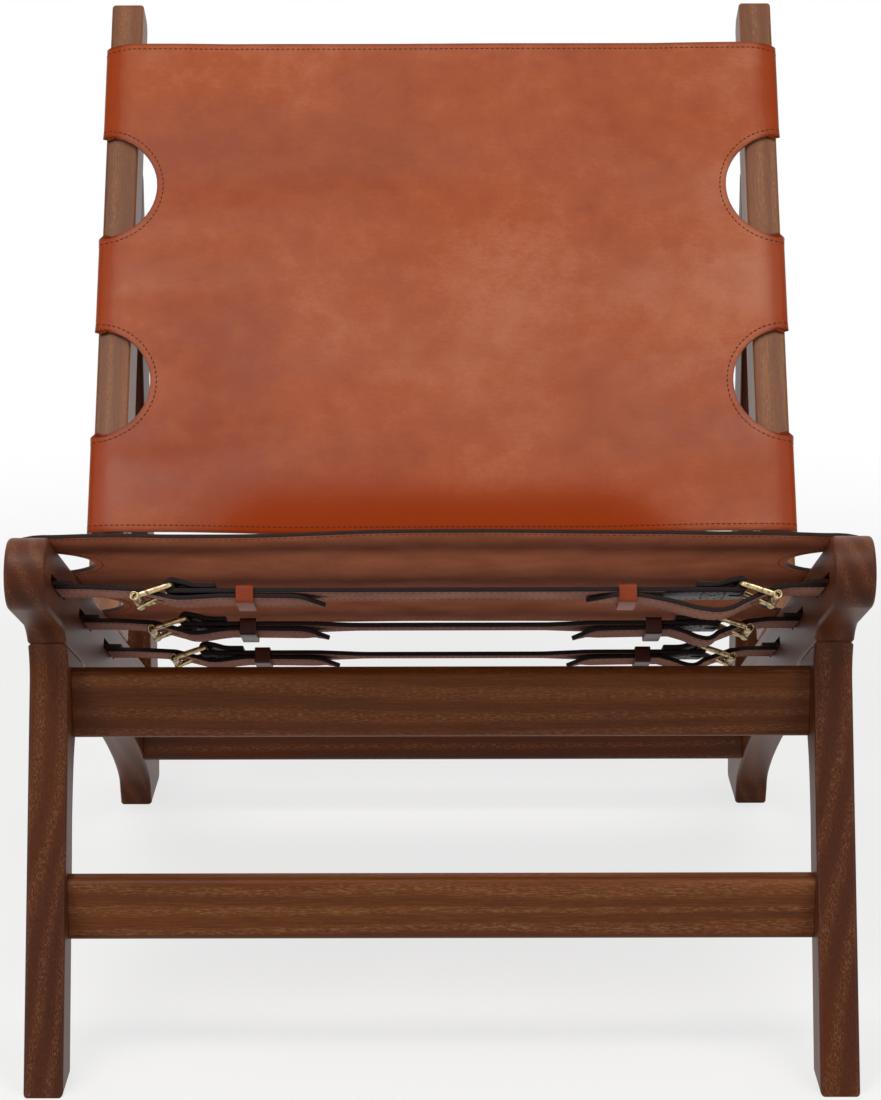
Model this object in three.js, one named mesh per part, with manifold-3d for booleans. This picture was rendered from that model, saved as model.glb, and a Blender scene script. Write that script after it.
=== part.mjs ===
// Leather sling lounge chair: two sawn timber side frames joined by four crossrails, with a seat
// and a back of thick saddle leather. Each hide wraps the outside of the frame, its tongues pass
// through slots in the timber, and straps with roller buckles draw it tight.
//
// Millimetres. X runs across the chair, Y from front to back and Z up. The origin is on the
// floor, under the middle of the chair's outer box.

import * as THREE from 'three';
import { mergeVertices } from 'three/addons/utils/BufferGeometryUtils.js';
import Module from 'manifold-3d';

const wasm = await Module();
wasm.setup();

// Clearances
const fitGap = 0.3; // between pieces that meet
const seamBite = 0.2; // how far sewn layers press into each other
const overrun = 3; // how far a cutter runs past what it cuts

// Side frames. Lengths along Y are measured from the front toe.
const frameWidth = 650; // over the outer faces
const boardThickness = 31;
const arris = 2.5; // chamfer along the timber's long edges
const seatSlopeDeg = 24.7; // the seat falls towards the back
const backReclineDeg = 33.7; // from upright

// Seat rail. A run is measured down its top edge from the nose, a drop square to that edge.
const noseSetback = 49;
const noseHeight = 433.5; // where the top edge begins
const noseDepth = 53;
const railDepth = 63;
const neckRun = 74;
const neckRadius = 43;
const sweepRun = 236; // where the underside starts to sweep down to the rear foot
const rearSetback = 778; // the chair's plumb rear edge
const rearFootLength = 83;
const rearFootTuck = 15; // how far the foot lies ahead of the rear edge
const rearFootRounding = 9;

// Front leg
const legFootDepth = 47;
const legBackSetback = 104; // the rear edge at the height where it starts to flare
const legFlareHeight = 160;
const legHeadRun = 210; // where the flare meets the rail

// Back post. A run is measured up its front edge, a drop square to that edge.
const postSetback = 462;
const postLength = 652;
const postFootDepth = 68;
const postHeadDepth = 44;
const postHeadRounding = 16;
const postBrowRounding = 6;

// Rear strut
const strutFootDepth = 66;
const strutHeadDepth = 54;

// Crossrails. A setback is to the front face and a height to the lower edge.
const crossrailThickness = 20;
const crossrailRounding = 6;
const upperRail = { setback: 133, height: 249, depth: 55.5 };
const lowerRail = { setback: 66, height: 103.5, depth: 51 };
const rearStretcher = { setback: 623, height: 64.5, depth: 52 };
const backRail = { setback: 741, height: 495, depth: 50 };

// Joinery
const tenonLength = 18; // crossrail tenons
const tenonShoulder = 8; // crossrail edge to tenon edge
const tenonCheek = 4; // crossrail face to tenon face
const tongueThickness = 11; // tenons within the side frames
const tongueLength = 20;
const tongueMargin = 12; // joint end to tenon edge

// Leather
const hideThickness = 4;
const strapThickness = 3.8;
const strapWidth = 39;
const slotLength = 80;
const slotHeight = 9;
const tabFootWidth = 52; // each tab where it enters its slot
const tongueReach = 26; // how far a tongue runs inside the frame
const hideLap = 2;
const cutoutRadius = 54.5;
const seatHide = {
  start: 1.5, // the run where the hide begins
  length: 422,
  slotShares: [0.108, 0.499, 0.89], // the slots' middles, along the hide
  cutoutShares: [0.258, 0.739],
  slotDrop: 27,
  crown: 4, // rise at the middle, over the upper rail
  strapDrifts: [12, 8, 10], // how far each row of straps is drawn to the right
  keeperInsets: { left: [133, 128, 127], right: [163, 128, 128] },
};
const backHideStartShare = 0.147; // of the post's length
const backHideLengthShare = 0.779;
const backHide = {
  start: backHideStartShare * postLength,
  length: backHideLengthShare * postLength,
  slotShares: [0.093, 0.493, 0.897],
  cutoutShares: [0.292, 0.694],
  slotDrop: 25,
  crown: 0,
  strapDrifts: [0, 5, 0],
  keeperInsets: { left: [128, 133, 128], right: [133, 128, 131] },
};

// Buckles. Places across are measured in from the frame's inner face, a fall from the slot.
const heelInset = 77;
const heelFall = 2;
const rollerInset = 50;
const rollerFall = 11;
const barRadius = 2;
const bearingGap = 0.3;
const rollerWall = 1.3;
const cheekRadius = 2.2; // the buckle's side bars
const cheekWidth = 3.6;
const frameOpening = 42; // between the side bars
const rollerEndGap = 0.5; // between the roller and each side bar
const prongWidth = 4;
const prongThickness = 2.6;
const prongWall = 1.6;
const prongOverhang = 3;
const prongSlotWidth = 5.6;
const prongHoleLength = 15;

// Straps
const billetStartInset = 8;
const sewnInset = 26; // where the sewn layers part
const foldReturnInset = 110; // the cut end of the middle strap's fold
const foldRun = 18; // from the heel bar to where the folded layers meet
const bowStartInset = 114;
const bowFall = 5;
const tailShoulderInset = 176;
const tailTipInset = 194;
const keeperLength = 13.5;
const keeperThickness = 2.2;

// Shares of the piece that carries them
const sweepShares = [[0.419, 0.355], [0.673, 0.567], [0.86, 0.746], [0.968, 0.878], [0.991, 0.957]];
const flareShares = [[0.13, 0.31], [0.4, 0.67]];
const bowShares = [[0.3, 0.75], [0.55, 1], [0.8, 0.6]];

// How finely curves are cut
const arcSteps = 4;
const noseSteps = 10;
const neckSteps = 5;
const sweepSteps = 16;
const flareSteps = 6;
const cutoutSides = 48;
const barSides = 10;
const crownSteps = 4;
const keeperCornerSteps = 2;

const xAxis = new THREE.Vector3(1, 0, 0);
const yAxis = new THREE.Vector3(0, 1, 0);
const zAxis = new THREE.Vector3(0, 0, 1);
const quarterTurn = Math.PI / 2;
const seatSlope = THREE.MathUtils.degToRad(seatSlopeDeg);
const backRecline = THREE.MathUtils.degToRad(backReclineDeg);
const halfWidth = frameWidth / 2;
const innerHalfWidth = halfWidth - boardThickness;

// A point in the side view, from a run down the seat rail's top edge and a rise square to it.
function seatPoint(run, rise) {
  const y = noseSetback + run * Math.cos(seatSlope) + rise * Math.sin(seatSlope);
  const z = noseHeight - run * Math.sin(seatSlope) + rise * Math.cos(seatSlope);
  return new THREE.Vector2(y, z);
}

// The run down the rail's top edge at a setback from the front toe.
function runAtSetback(setback) {
  return (setback - noseSetback) / Math.cos(seatSlope);
}

const postFootRun = runAtSetback(postSetback);
const postFoot = seatPoint(postFootRun, 0);

// A point in the side view, from a run up the post's front edge and a rise square to it.
function backPoint(run, rise) {
  const y = postFoot.x + run * Math.sin(backRecline) - rise * Math.cos(backRecline);
  const z = postFoot.y + run * Math.cos(backRecline) + rise * Math.sin(backRecline);
  return new THREE.Vector2(y, z);
}

// The post's depth at a run up its front edge.
function postDepth(run) {
  return THREE.MathUtils.lerp(postFootDepth, postHeadDepth, run / postLength);
}

// Points on an arc, both ends included. Angles are in radians.
function arcPoints(centre, radius, from, to, steps) {
  const points = [];
  for (let i = 0; i <= steps; i += 1) {
    const angle = THREE.MathUtils.lerp(from, to, i / steps);
    points.push(new THREE.Vector2(centre.x + radius * Math.cos(angle), centre.y + radius * Math.sin(angle)));
  }
  return points;
}

// The crossing of the line through a and b with the line through c and d.
function crossing(a, b, c, d) {
  const ab = b.clone().sub(a);
  const cd = d.clone().sub(c);
  const t = c.clone().sub(a).cross(cd) / ab.cross(cd);
  return a.clone().addScaledVector(ab, t);
}

// A closed manifold solid from a geometry whose vertices are shared only by place.
function solidOf(geometry) {
  const bare = geometry.clone();
  bare.deleteAttribute('normal');
  bare.deleteAttribute('uv');
  const merged = mergeVertices(bare);
  return new wasm.Manifold(new wasm.Mesh({
    numProp: 3,
    vertProperties: new Float32Array(merged.attributes.position.array),
    triVerts: new Uint32Array(merged.index.array),
  }));
}

function geometryOf(solid) {
  const mesh = solid.getMesh();
  const geometry = new THREE.BufferGeometry();
  geometry.setAttribute('position', new THREE.BufferAttribute(mesh.vertProperties, 3));
  geometry.setIndex(new THREE.BufferAttribute(mesh.triVerts, 1));
  geometry.computeVertexNormals();
  return geometry;
}

function joined(solids) {
  return solids.reduce((whole, next) => whole.add(next));
}

function extruded(points, depth) {
  return new THREE.ExtrudeGeometry(new THREE.Shape(points), { depth, bevelEnabled: false });
}

// A side-view outline, in Y and Z, drawn out along X between two places.
function alongX(points, from, to) {
  const geometry = extruded(points, to - from);
  geometry.translate(0, 0, from);
  geometry.applyMatrix4(new THREE.Matrix4().makeBasis(yAxis, zAxis, xAxis));
  return solidOf(geometry);
}

// A section in X and Z, drawn out along Y between two places.
function alongY(points, from, to) {
  const geometry = extruded(points, to - from);
  geometry.applyMatrix4(new THREE.Matrix4().makeBasis(xAxis, zAxis, yAxis.clone().negate()));
  geometry.translate(0, to, 0);
  return solidOf(geometry);
}

// A plan outline, in X and Y, drawn up along Z between two places.
function alongZ(points, from, to) {
  const geometry = extruded(points, to - from);
  geometry.translate(0, 0, from);
  return solidOf(geometry);
}

function boxBetween(low, high) {
  const size = high.clone().sub(low);
  const geometry = new THREE.BoxGeometry(size.x, size.y, size.z);
  const middle = low.clone().add(high).multiplyScalar(1 / 2);
  geometry.translate(middle.x, middle.y, middle.z);
  return solidOf(geometry);
}

// A round bar along Y, between two places.
function barAlongY(x, z, radius, from, to) {
  const geometry = new THREE.CylinderGeometry(radius, radius, to - from, barSides);
  geometry.translate(x, (from + to) / 2, z);
  return solidOf(geometry);
}

// The outline of a band of even thickness that follows a centreline.
function bandOutline(centreline, thickness) {
  const left = [];
  const right = [];
  centreline.forEach((point, i) => {
    const before = centreline[Math.max(i - 1, 0)];
    const after = centreline[Math.min(i + 1, centreline.length - 1)];
    const into = point.clone().sub(before).normalize();
    const out = after.clone().sub(point).normalize();
    const heading = into.clone().add(out).normalize();
    const plain = i > 0 && i < centreline.length - 1 ? into : heading;
    const reach = thickness / 2 / Math.max(heading.dot(plain), 1 / 2);
    const normal = new THREE.Vector2(-heading.y, heading.x);
    left.push(point.clone().addScaledVector(normal, reach));
    right.push(point.clone().addScaledVector(normal, -reach));
  });
  return [...right, ...left.reverse()];
}

// A board of the side frame: its side-view outline at full thickness with chamfered edges,
// centred on its own X.
function board(points) {
  const geometry = new THREE.ExtrudeGeometry(new THREE.Shape(points), {
    depth: boardThickness - 2 * arris,
    bevelEnabled: true,
    bevelThickness: arris,
    bevelSize: arris,
    bevelOffset: -arris,
    bevelSegments: 1,
  });
  geometry.translate(0, 0, arris - boardThickness / 2);
  geometry.applyMatrix4(new THREE.Matrix4().makeBasis(yAxis, zAxis, xAxis));
  return solidOf(geometry);
}

// A tenon within the side frame, or with a clearance its mortise. The pointer turns a run and a
// rise into a side-view point.
function tongue(pointer, fromRun, toRun, fromRise, toRise, clearance) {
  const low = Math.min(fromRise, toRise) - clearance;
  const high = Math.max(fromRise, toRise) + clearance;
  const corners = [
    pointer(fromRun - clearance, low),
    pointer(toRun + clearance, low),
    pointer(toRun + clearance, high),
    pointer(fromRun - clearance, high),
  ];
  if (THREE.ShapeUtils.area(corners) < 0) {
    corners.reverse();
  }
  const reach = tongueThickness / 2 + clearance;
  return alongX(corners, -reach, reach);
}

// Runs along the timber at shares of a hide's length.
function runsAt(hide, shares) {
  return shares.map((share) => hide.start + share * hide.length);
}

// The slot that a leather tongue passes through.
function hideSlot(pointer, run, drop) {
  const radius = slotHeight / 2;
  const straight = slotLength / 2 - radius;
  const local = [
    ...arcPoints(new THREE.Vector2(run + straight, -drop), radius, -quarterTurn, quarterTurn, arcSteps),
    ...arcPoints(new THREE.Vector2(run - straight, -drop), radius, quarterTurn, 3 * quarterTurn, arcSteps),
  ];
  const points = local.map((point) => pointer(point.x, point.y));
  if (THREE.ShapeUtils.area(points) < 0) {
    points.reverse();
  }
  const reach = boardThickness / 2 + overrun;
  return alongX(points, -reach, reach);
}

function hideSlots(pointer, hide) {
  return joined(runsAt(hide, hide.slotShares).map((run) => hideSlot(pointer, run, hide.slotDrop)));
}

// A crossrail's tenon at one side of the chair, or with a clearance its mortise, in X from the
// middle of the chair.
function crossrailTenon(rail, side, clearance) {
  const from = side * (innerHalfWidth - tenonLength);
  const to = side * (innerHalfWidth + tenonLength + clearance);
  const low = new THREE.Vector3(
    Math.min(from, to),
    rail.setback + tenonCheek - clearance,
    rail.height + tenonShoulder - clearance,
  );
  const high = new THREE.Vector3(
    Math.max(from, to),
    rail.setback + crossrailThickness - tenonCheek + clearance,
    rail.height + rail.depth - tenonShoulder + clearance,
  );
  return boxBetween(low, high);
}

// The same mortise in a board's own X.
function crossrailMortise(rail, side) {
  return crossrailTenon(rail, side, fitGap).translate([-side * (halfWidth - boardThickness / 2), 0, 0]);
}

// Tenons of the side frame's own joints
const legTongue = (clearance) => tongue(
  seatPoint,
  neckRun + neckRadius,
  neckRun + neckRadius + legFootDepth,
  -railDepth - tongueLength,
  -railDepth + tongueLength,
  clearance,
);
const postTongue = (clearance) => tongue(
  seatPoint,
  postFootRun + tongueMargin,
  postFootRun + postFootDepth - tongueMargin,
  -tongueLength,
  tongueLength,
  clearance,
);
const strutFootRun = runAtSetback(rearSetback - strutFootDepth);
const strutFootTongue = (clearance) => tongue(
  seatPoint,
  strutFootRun + tongueMargin,
  strutFootRun + strutFootDepth - tongueMargin,
  -tongueLength,
  tongueLength,
  clearance,
);

// Where the strut's faces meet the post's rear edge
const postRearLow = backPoint(0, -postFootDepth);
const postRearHigh = backPoint(postLength, -postHeadDepth);
const strutRearHead = crossing(
  new THREE.Vector2(rearSetback, 0),
  new THREE.Vector2(rearSetback, noseHeight),
  postRearLow,
  postRearHigh,
);
const strutFrontHead = crossing(
  new THREE.Vector2(rearSetback - strutHeadDepth, 0),
  new THREE.Vector2(rearSetback - strutHeadDepth, noseHeight),
  postRearLow,
  postRearHigh,
);
const forkLowRun = strutFrontHead.clone().sub(postFoot).dot(backPoint(1, 0).sub(postFoot));
const forkHighRun = strutRearHead.clone().sub(postFoot).dot(backPoint(1, 0).sub(postFoot));
const strutHeadTongue = (clearance) => tongue(
  backPoint,
  forkLowRun + 2 * tongueMargin,
  forkHighRun - 2 * tongueMargin,
  -postDepth(forkLowRun) - tongueLength / 2,
  -postDepth(forkHighRun) + tongueLength,
  clearance,
);

// The point at two shares of a span from where it starts.
function sharedPoint(start, span, shares) {
  return new THREE.Vector2(start.x + shares[0] * span.x, start.y + shares[1] * span.y);
}

function railOutline() {
  const noseRadius = noseDepth / 2;
  const noseCentre = seatPoint(0, -noseRadius);
  const upright = quarterTurn - seatSlope;
  const neckCentre = seatPoint(neckRun, -noseDepth - neckRadius);
  const neckEnd = Math.asin((noseDepth + neckRadius - railDepth) / neckRadius);
  const sweepStart = seatPoint(sweepRun, -railDepth);
  const footBack = rearSetback - rearFootTuck;
  const footFront = new THREE.Vector2(footBack - rearFootLength, 0);
  const sweepSpan = footFront.clone().sub(sweepStart);
  const sweep = new THREE.SplineCurve([
    sweepStart,
    ...sweepShares.map((shares) => sharedPoint(sweepStart, sweepSpan, shares)),
    footFront,
  ]);
  return [
    seatPoint(runAtSetback(rearSetback), 0),
    ...arcPoints(noseCentre, noseRadius, upright, upright + 2 * quarterTurn, noseSteps),
    ...arcPoints(neckCentre, neckRadius, upright, neckEnd - seatSlope, neckSteps),
    ...sweep.getPoints(sweepSteps),
    ...arcPoints(
      new THREE.Vector2(footBack - rearFootRounding, rearFootRounding),
      rearFootRounding,
      -quarterTurn,
      0,
      arcSteps,
    ),
  ];
}

function legOutline() {
  const headDrop = railDepth + fitGap;
  const neckCentre = seatPoint(neckRun, -noseDepth - neckRadius);
  const neckStart = Math.asin((noseDepth + neckRadius - headDrop) / neckRadius);
  const head = seatPoint(legHeadRun, -headDrop);
  const flareStart = new THREE.Vector2(legBackSetback, legFlareHeight);
  const span = head.clone().sub(flareStart);
  const flare = new THREE.SplineCurve([
    flareStart,
    ...flareShares.map((shares) => sharedPoint(flareStart, span, shares)),
    head,
  ]);
  return [
    new THREE.Vector2(0, 0),
    new THREE.Vector2(legFootDepth, 0),
    ...flare.getPoints(flareSteps),
    ...arcPoints(neckCentre, neckRadius, neckStart - seatSlope, -seatSlope, neckSteps),
  ];
}

function postOutline() {
  const browTurn = quarterTurn - backRecline;
  const rearFoot = crossing(seatPoint(0, fitGap), seatPoint(postFootRun, fitGap), postRearLow, postRearHigh);
  const browCentre = backPoint(postLength - postBrowRounding, -postBrowRounding);
  const headCentre = backPoint(postLength - postHeadRounding, postHeadRounding - postHeadDepth);
  return [
    crossing(seatPoint(0, fitGap), seatPoint(postFootRun, fitGap), postFoot, backPoint(postLength, 0)),
    rearFoot,
    ...arcPoints(headCentre, postHeadRounding, browTurn - quarterTurn, browTurn, 2 * arcSteps),
    ...arcPoints(browCentre, postBrowRounding, browTurn, browTurn + quarterTurn, arcSteps),
  ];
}

function strutOutline() {
  const across = postRearHigh.clone().sub(postRearLow).normalize();
  const away = new THREE.Vector2(across.y, -across.x).multiplyScalar(fitGap);
  const rearFace = new THREE.Vector2(rearSetback, 0);
  const frontFoot = seatPoint(strutFootRun, fitGap);
  const footLine = [seatPoint(0, fitGap), seatPoint(postFootRun, fitGap)];
  const postLine = [postRearLow.clone().add(away), postRearHigh.clone().add(away)];
  const rearLine = [rearFace, new THREE.Vector2(rearSetback, noseHeight)];
  return [
    frontFoot,
    crossing(...footLine, ...rearLine),
    crossing(...postLine, ...rearLine),
    crossing(...postLine, frontFoot, strutFrontHead),
  ];
}

// One side frame's four boards, centred on their own X.
function sideFrame(side) {
  const seatRail = board(railOutline())
    .subtract(legTongue(fitGap))
    .subtract(postTongue(fitGap))
    .subtract(strutFootTongue(fitGap))
    .subtract(crossrailMortise(rearStretcher, side))
    .subtract(hideSlots(seatPoint, seatHide));
  const frontLeg = board(legOutline())
    .add(legTongue(0))
    .subtract(crossrailMortise(upperRail, side))
    .subtract(crossrailMortise(lowerRail, side));
  const backPost = board(postOutline())
    .add(postTongue(0))
    .subtract(strutHeadTongue(fitGap))
    .subtract(hideSlots(backPoint, backHide));
  const rearStrut = board(strutOutline())
    .add(strutFootTongue(0))
    .add(strutHeadTongue(0))
    .subtract(crossrailMortise(backRail, side));
  return { seatRail, frontLeg, backPost, rearStrut };
}

function crossrail(rail) {
  const y = rail.setback;
  const z = rail.height;
  const r = crossrailRounding;
  const far = y + crossrailThickness;
  const top = z + rail.depth;
  const section = [
    ...arcPoints(new THREE.Vector2(y + r, z + r), r, 2 * quarterTurn, 3 * quarterTurn, arcSteps),
    ...arcPoints(new THREE.Vector2(far - r, z + r), r, -quarterTurn, 0, arcSteps),
    ...arcPoints(new THREE.Vector2(far - r, top - r), r, 0, quarterTurn, arcSteps),
    ...arcPoints(new THREE.Vector2(y + r, top - r), r, quarterTurn, 2 * quarterTurn, arcSteps),
  ];
  const reach = innerHalfWidth - fitGap;
  return alongX(section, -reach, reach)
    .add(crossrailTenon(rail, 1, 0))
    .add(crossrailTenon(rail, -1, 0));
}

// Leather. X runs across the chair, Y along the hide and Z out of its face. Z is zero on the
// timber that carries the hide.
const hideFold = slotHeight / 2 - fitGap; // the bend's radius, at the middle of the leather
const hideFace = fitGap + hideThickness / 2;
const foldX = halfWidth + fitGap + hideThickness / 2;

// The stretch of the hide's edge that each tab takes, at the fold.
function tabStretches(hide) {
  const [first, second] = runsAt(hide, hide.cutoutShares);
  return [
    [hide.start, first - cutoutRadius],
    [first + cutoutRadius, second - cutoutRadius],
    [second + cutoutRadius, hide.start + hide.length],
  ];
}

function hideSolid(hide) {
  const half = [];
  for (let i = 0; i <= crownSteps; i += 1) {
    const share = i / crownSteps;
    half.push(new THREE.Vector2(share * innerHalfWidth, hideFace + hide.crown * (1 - share * share)));
  }
  const foldCentre = new THREE.Vector2(foldX - hideFold, hideFace - hideFold);
  half.push(...arcPoints(foldCentre, hideFold, quarterTurn, 0, arcSteps));
  half.push(new THREE.Vector2(foldX, hideFace - hideFold - hideLap));
  const otherHalf = half.slice(1).reverse().map((point) => new THREE.Vector2(-point.x, point.y));
  const outline = bandOutline([...otherHalf, ...half], hideThickness);
  const band = alongY(outline, hide.start, hide.start + hide.length);

  const slots = runsAt(hide, hide.slotShares);
  const slotZ = -hide.slotDrop;
  const outerX = foldX + hideThickness / 2;
  const cutters = [];
  const additions = [];
  for (const side of [-1, 1]) {
    for (const place of runsAt(hide, hide.cutoutShares)) {
      const tall = 2 * (hideFold + hideLap + hideThickness + hide.crown + overrun);
      const cutter = new THREE.CylinderGeometry(cutoutRadius, cutoutRadius, tall, cutoutSides);
      cutter.rotateX(quarterTurn);
      cutter.translate(side * outerX, place, 0);
      cutters.push(solidOf(cutter));
    }
    tabStretches(hide).forEach(([start, end], i) => {
      const slot = slots[i];
      const face = [
        new THREE.Vector2(start, hideFace - hideFold),
        new THREE.Vector2(slot - tabFootWidth / 2, slotZ + hideFold),
        new THREE.Vector2(slot + tabFootWidth / 2, slotZ + hideFold),
        new THREE.Vector2(end, hideFace - hideFold),
      ];
      const near = side * (outerX - hideThickness);
      const far = side * outerX;
      additions.push(alongX(face, Math.min(near, far), Math.max(near, far)));
      const bendCentre = new THREE.Vector2(foldX - hideFold, slotZ + hideFold);
      const bend = [
        new THREE.Vector2(foldX, slotZ + hideFold + hideLap),
        ...arcPoints(bendCentre, hideFold, 0, -quarterTurn, arcSteps),
        new THREE.Vector2(innerHalfWidth + overrun, slotZ),
      ];
      const turned = bend.map((point) => new THREE.Vector2(side * point.x, point.y));
      if (side > 0) {
        turned.reverse();
      }
      const bendOutline = bandOutline(turned, hideThickness);
      additions.push(alongY(bendOutline, slot - tabFootWidth / 2, slot + tabFootWidth / 2));
      const tipX = side * (innerHalfWidth - tongueReach);
      const rootX = side * (innerHalfWidth + 2 * overrun);
      additions.push(boxBetween(
        new THREE.Vector3(Math.min(tipX, rootX), slot - strapWidth / 2, slotZ - hideThickness / 2),
        new THREE.Vector3(Math.max(tipX, rootX), slot + strapWidth / 2, slotZ + hideThickness / 2),
      ));
    });
  }
  return band.subtract(joined(cutters)).add(joined(additions));
}

// Straps and buckles at one slot. X is measured from the middle of the chair, Y from the slot's
// middle and Z from its height. All are drawn for the side where X is positive, before the row of
// straps is drawn to one side.
const heel = new THREE.Vector2(innerHalfWidth - heelInset, -heelFall);
const roller = new THREE.Vector2(innerHalfWidth - rollerInset, -rollerFall);
const foldRadius = barRadius + bearingGap + strapThickness / 2;
const rollerRadius = barRadius + bearingGap + rollerWall;
const mainZ = heel.y - foldRadius;
const billetZ = mainZ - strapThickness - fitGap;

function middleStrap() {
  const returnZ = mainZ + strapThickness + fitGap;
  const half = [
    new THREE.Vector2(0, mainZ),
    ...arcPoints(heel, foldRadius, -quarterTurn, quarterTurn, 2 * arcSteps),
    new THREE.Vector2(heel.x - foldRun, returnZ),
    new THREE.Vector2(innerHalfWidth - foldReturnInset, returnZ),
  ];
  const otherHalf = half.slice(1).reverse().map((point) => new THREE.Vector2(-point.x, point.y));
  const strap = alongY(bandOutline([...otherHalf, ...half], strapThickness), -strapWidth / 2, strapWidth / 2);
  const slotReach = foldRadius + strapThickness / 2 + overrun;
  const slots = [-1, 1].map((side) => boxBetween(
    new THREE.Vector3(side * heel.x - slotReach, -prongSlotWidth / 2, heel.y - slotReach),
    new THREE.Vector3(side * heel.x + slotReach, prongSlotWidth / 2, heel.y + slotReach),
  ));
  return strap.subtract(joined(slots));
}

// The billet runs over the roller, down through the frame and outside the heel bar's fold. All but
// its sewn end follows the buckle where the row of straps is drawn outwards.
const overRoller = rollerRadius + fitGap + strapThickness / 2;
const underHeel = foldRadius + strapThickness + fitGap;
const axisSpan = roller.clone().sub(heel);
const axisTilt = Math.atan2(axisSpan.y, axisSpan.x);
const crossAngle = axisTilt + Math.asin((overRoller + underHeel) / axisSpan.length());
const crossNormal = new THREE.Vector2(-Math.sin(crossAngle), Math.cos(crossAngle));
const billetLow = heel.clone().addScaledVector(crossNormal, -underHeel);
const billetHigh = roller.clone().addScaledVector(crossNormal, overRoller);

function billet(drawn) {
  const startZ = seamBite - hideThickness / 2 - strapThickness / 2;
  const bowStart = new THREE.Vector2(innerHalfWidth - bowStartInset, billetZ);
  const bowRun = billetLow.x - bowStart.x;
  const bow = new THREE.SplineCurve([
    bowStart,
    ...bowShares.map(([run, fall]) => new THREE.Vector2(bowStart.x + run * bowRun, billetZ - fall * bowFall)),
    billetLow,
  ]);
  const drawnPart = [
    new THREE.Vector2(innerHalfWidth - tailTipInset, billetZ),
    ...bow.getPoints(2 * arcSteps),
    ...arcPoints(roller, overRoller, crossAngle + quarterTurn, quarterTurn, arcSteps),
  ];
  const centreline = [
    ...drawnPart.map((point) => new THREE.Vector2(point.x + drawn, point.y)),
    new THREE.Vector2(innerHalfWidth - sewnInset, startZ),
    new THREE.Vector2(innerHalfWidth - billetStartInset, startZ),
  ];
  const band = alongY(bandOutline(centreline, strapThickness), -strapWidth / 2, strapWidth / 2);
  const tip = innerHalfWidth - tailTipInset + drawn;
  const shoulder = innerHalfWidth - tailShoulderInset + drawn;
  const start = innerHalfWidth;
  const plan = alongZ([
    new THREE.Vector2(tip, 0),
    new THREE.Vector2(shoulder, -strapWidth / 2),
    new THREE.Vector2(start, -strapWidth / 2),
    new THREE.Vector2(start, strapWidth / 2),
    new THREE.Vector2(shoulder, strapWidth / 2),
  ], -halfWidth, halfWidth);
  const holeReach = new THREE.Vector3(prongHoleLength / 2, prongSlotWidth / 2, prongHoleLength);
  const holeMiddle = new THREE.Vector3(prongCross.x + drawn, 0, prongCross.y);
  const hole = boxBetween(holeMiddle.clone().sub(holeReach), holeMiddle.clone().add(holeReach));
  return band.intersect(plan).subtract(hole);
}

// The prong turns on the heel bar and rests on the roller's outer side.
const prongRing = barRadius + bearingGap + prongWall;
const prongOffset = rollerRadius + fitGap + prongThickness / 2;
const outward = new THREE.Vector2(axisSpan.y, -axisSpan.x).normalize();
const prongRest = roller.clone().addScaledVector(outward, prongOffset);
const prongHeading = prongRest.clone().sub(heel).normalize();
const prongTip = prongRest.clone().addScaledVector(prongHeading, prongOverhang);
const prongCross = crossing(heel, prongRest, billetLow, billetHigh);

function prong() {
  const ring = new THREE.Shape(arcPoints(heel, prongRing, 0, 4 * quarterTurn, barSides).slice(1));
  const ringSolid = alongY(ring.getPoints(), -prongWidth / 2, prongWidth / 2);
  const bore = barAlongY(heel.x, heel.y, barRadius + bearingGap, -prongWidth, prongWidth);
  const arm = alongY(bandOutline([heel, prongTip], prongThickness), -prongWidth / 2, prongWidth / 2);
  return ringSolid.add(arm).subtract(bore);
}

// The buckle's heel bar, side bars and the bar that carries its roller, with the roller on it.
function buckleFrame() {
  const reach = frameOpening / 2 + cheekWidth;
  const cheek = [
    ...arcPoints(roller, cheekRadius, axisTilt - quarterTurn, axisTilt + quarterTurn, arcSteps),
    ...arcPoints(heel, cheekRadius, axisTilt + quarterTurn, axisTilt + 3 * quarterTurn, arcSteps),
  ];
  const rollerReach = frameOpening / 2 - rollerEndGap;
  return joined([
    barAlongY(heel.x, heel.y, barRadius, -reach + cheekWidth / 2, reach - cheekWidth / 2),
    barAlongY(roller.x, roller.y, barRadius, -reach + cheekWidth / 2, reach - cheekWidth / 2),
    barAlongY(roller.x, roller.y, rollerRadius, -rollerReach, rollerReach),
    alongY(cheek, -reach, -frameOpening / 2),
    alongY(cheek, frameOpening / 2, reach),
  ]);
}

// A leather loop round the middle strap and the billet.
function keeper(inset) {
  const x = innerHalfWidth - inset;
  const y = strapWidth / 2 + fitGap;
  const top = mainZ + strapThickness / 2 + fitGap;
  const bottom = billetZ - strapThickness / 2 - fitGap;
  const t = keeperThickness;
  const outline = [
    ...arcPoints(new THREE.Vector2(-y, bottom), t, 2 * quarterTurn, 3 * quarterTurn, keeperCornerSteps),
    ...arcPoints(new THREE.Vector2(y, bottom), t, -quarterTurn, 0, keeperCornerSteps),
    ...arcPoints(new THREE.Vector2(y, top), t, 0, quarterTurn, keeperCornerSteps),
    ...arcPoints(new THREE.Vector2(-y, top), t, quarterTurn, 2 * quarterTurn, keeperCornerSteps),
  ];
  const from = x - keeperLength / 2;
  const to = x + keeperLength / 2;
  const space = boxBetween(
    new THREE.Vector3(from - overrun, -y, bottom),
    new THREE.Vector3(to + overrun, y, top),
  );
  return alongX(outline, from, to).subtract(space);
}

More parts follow.
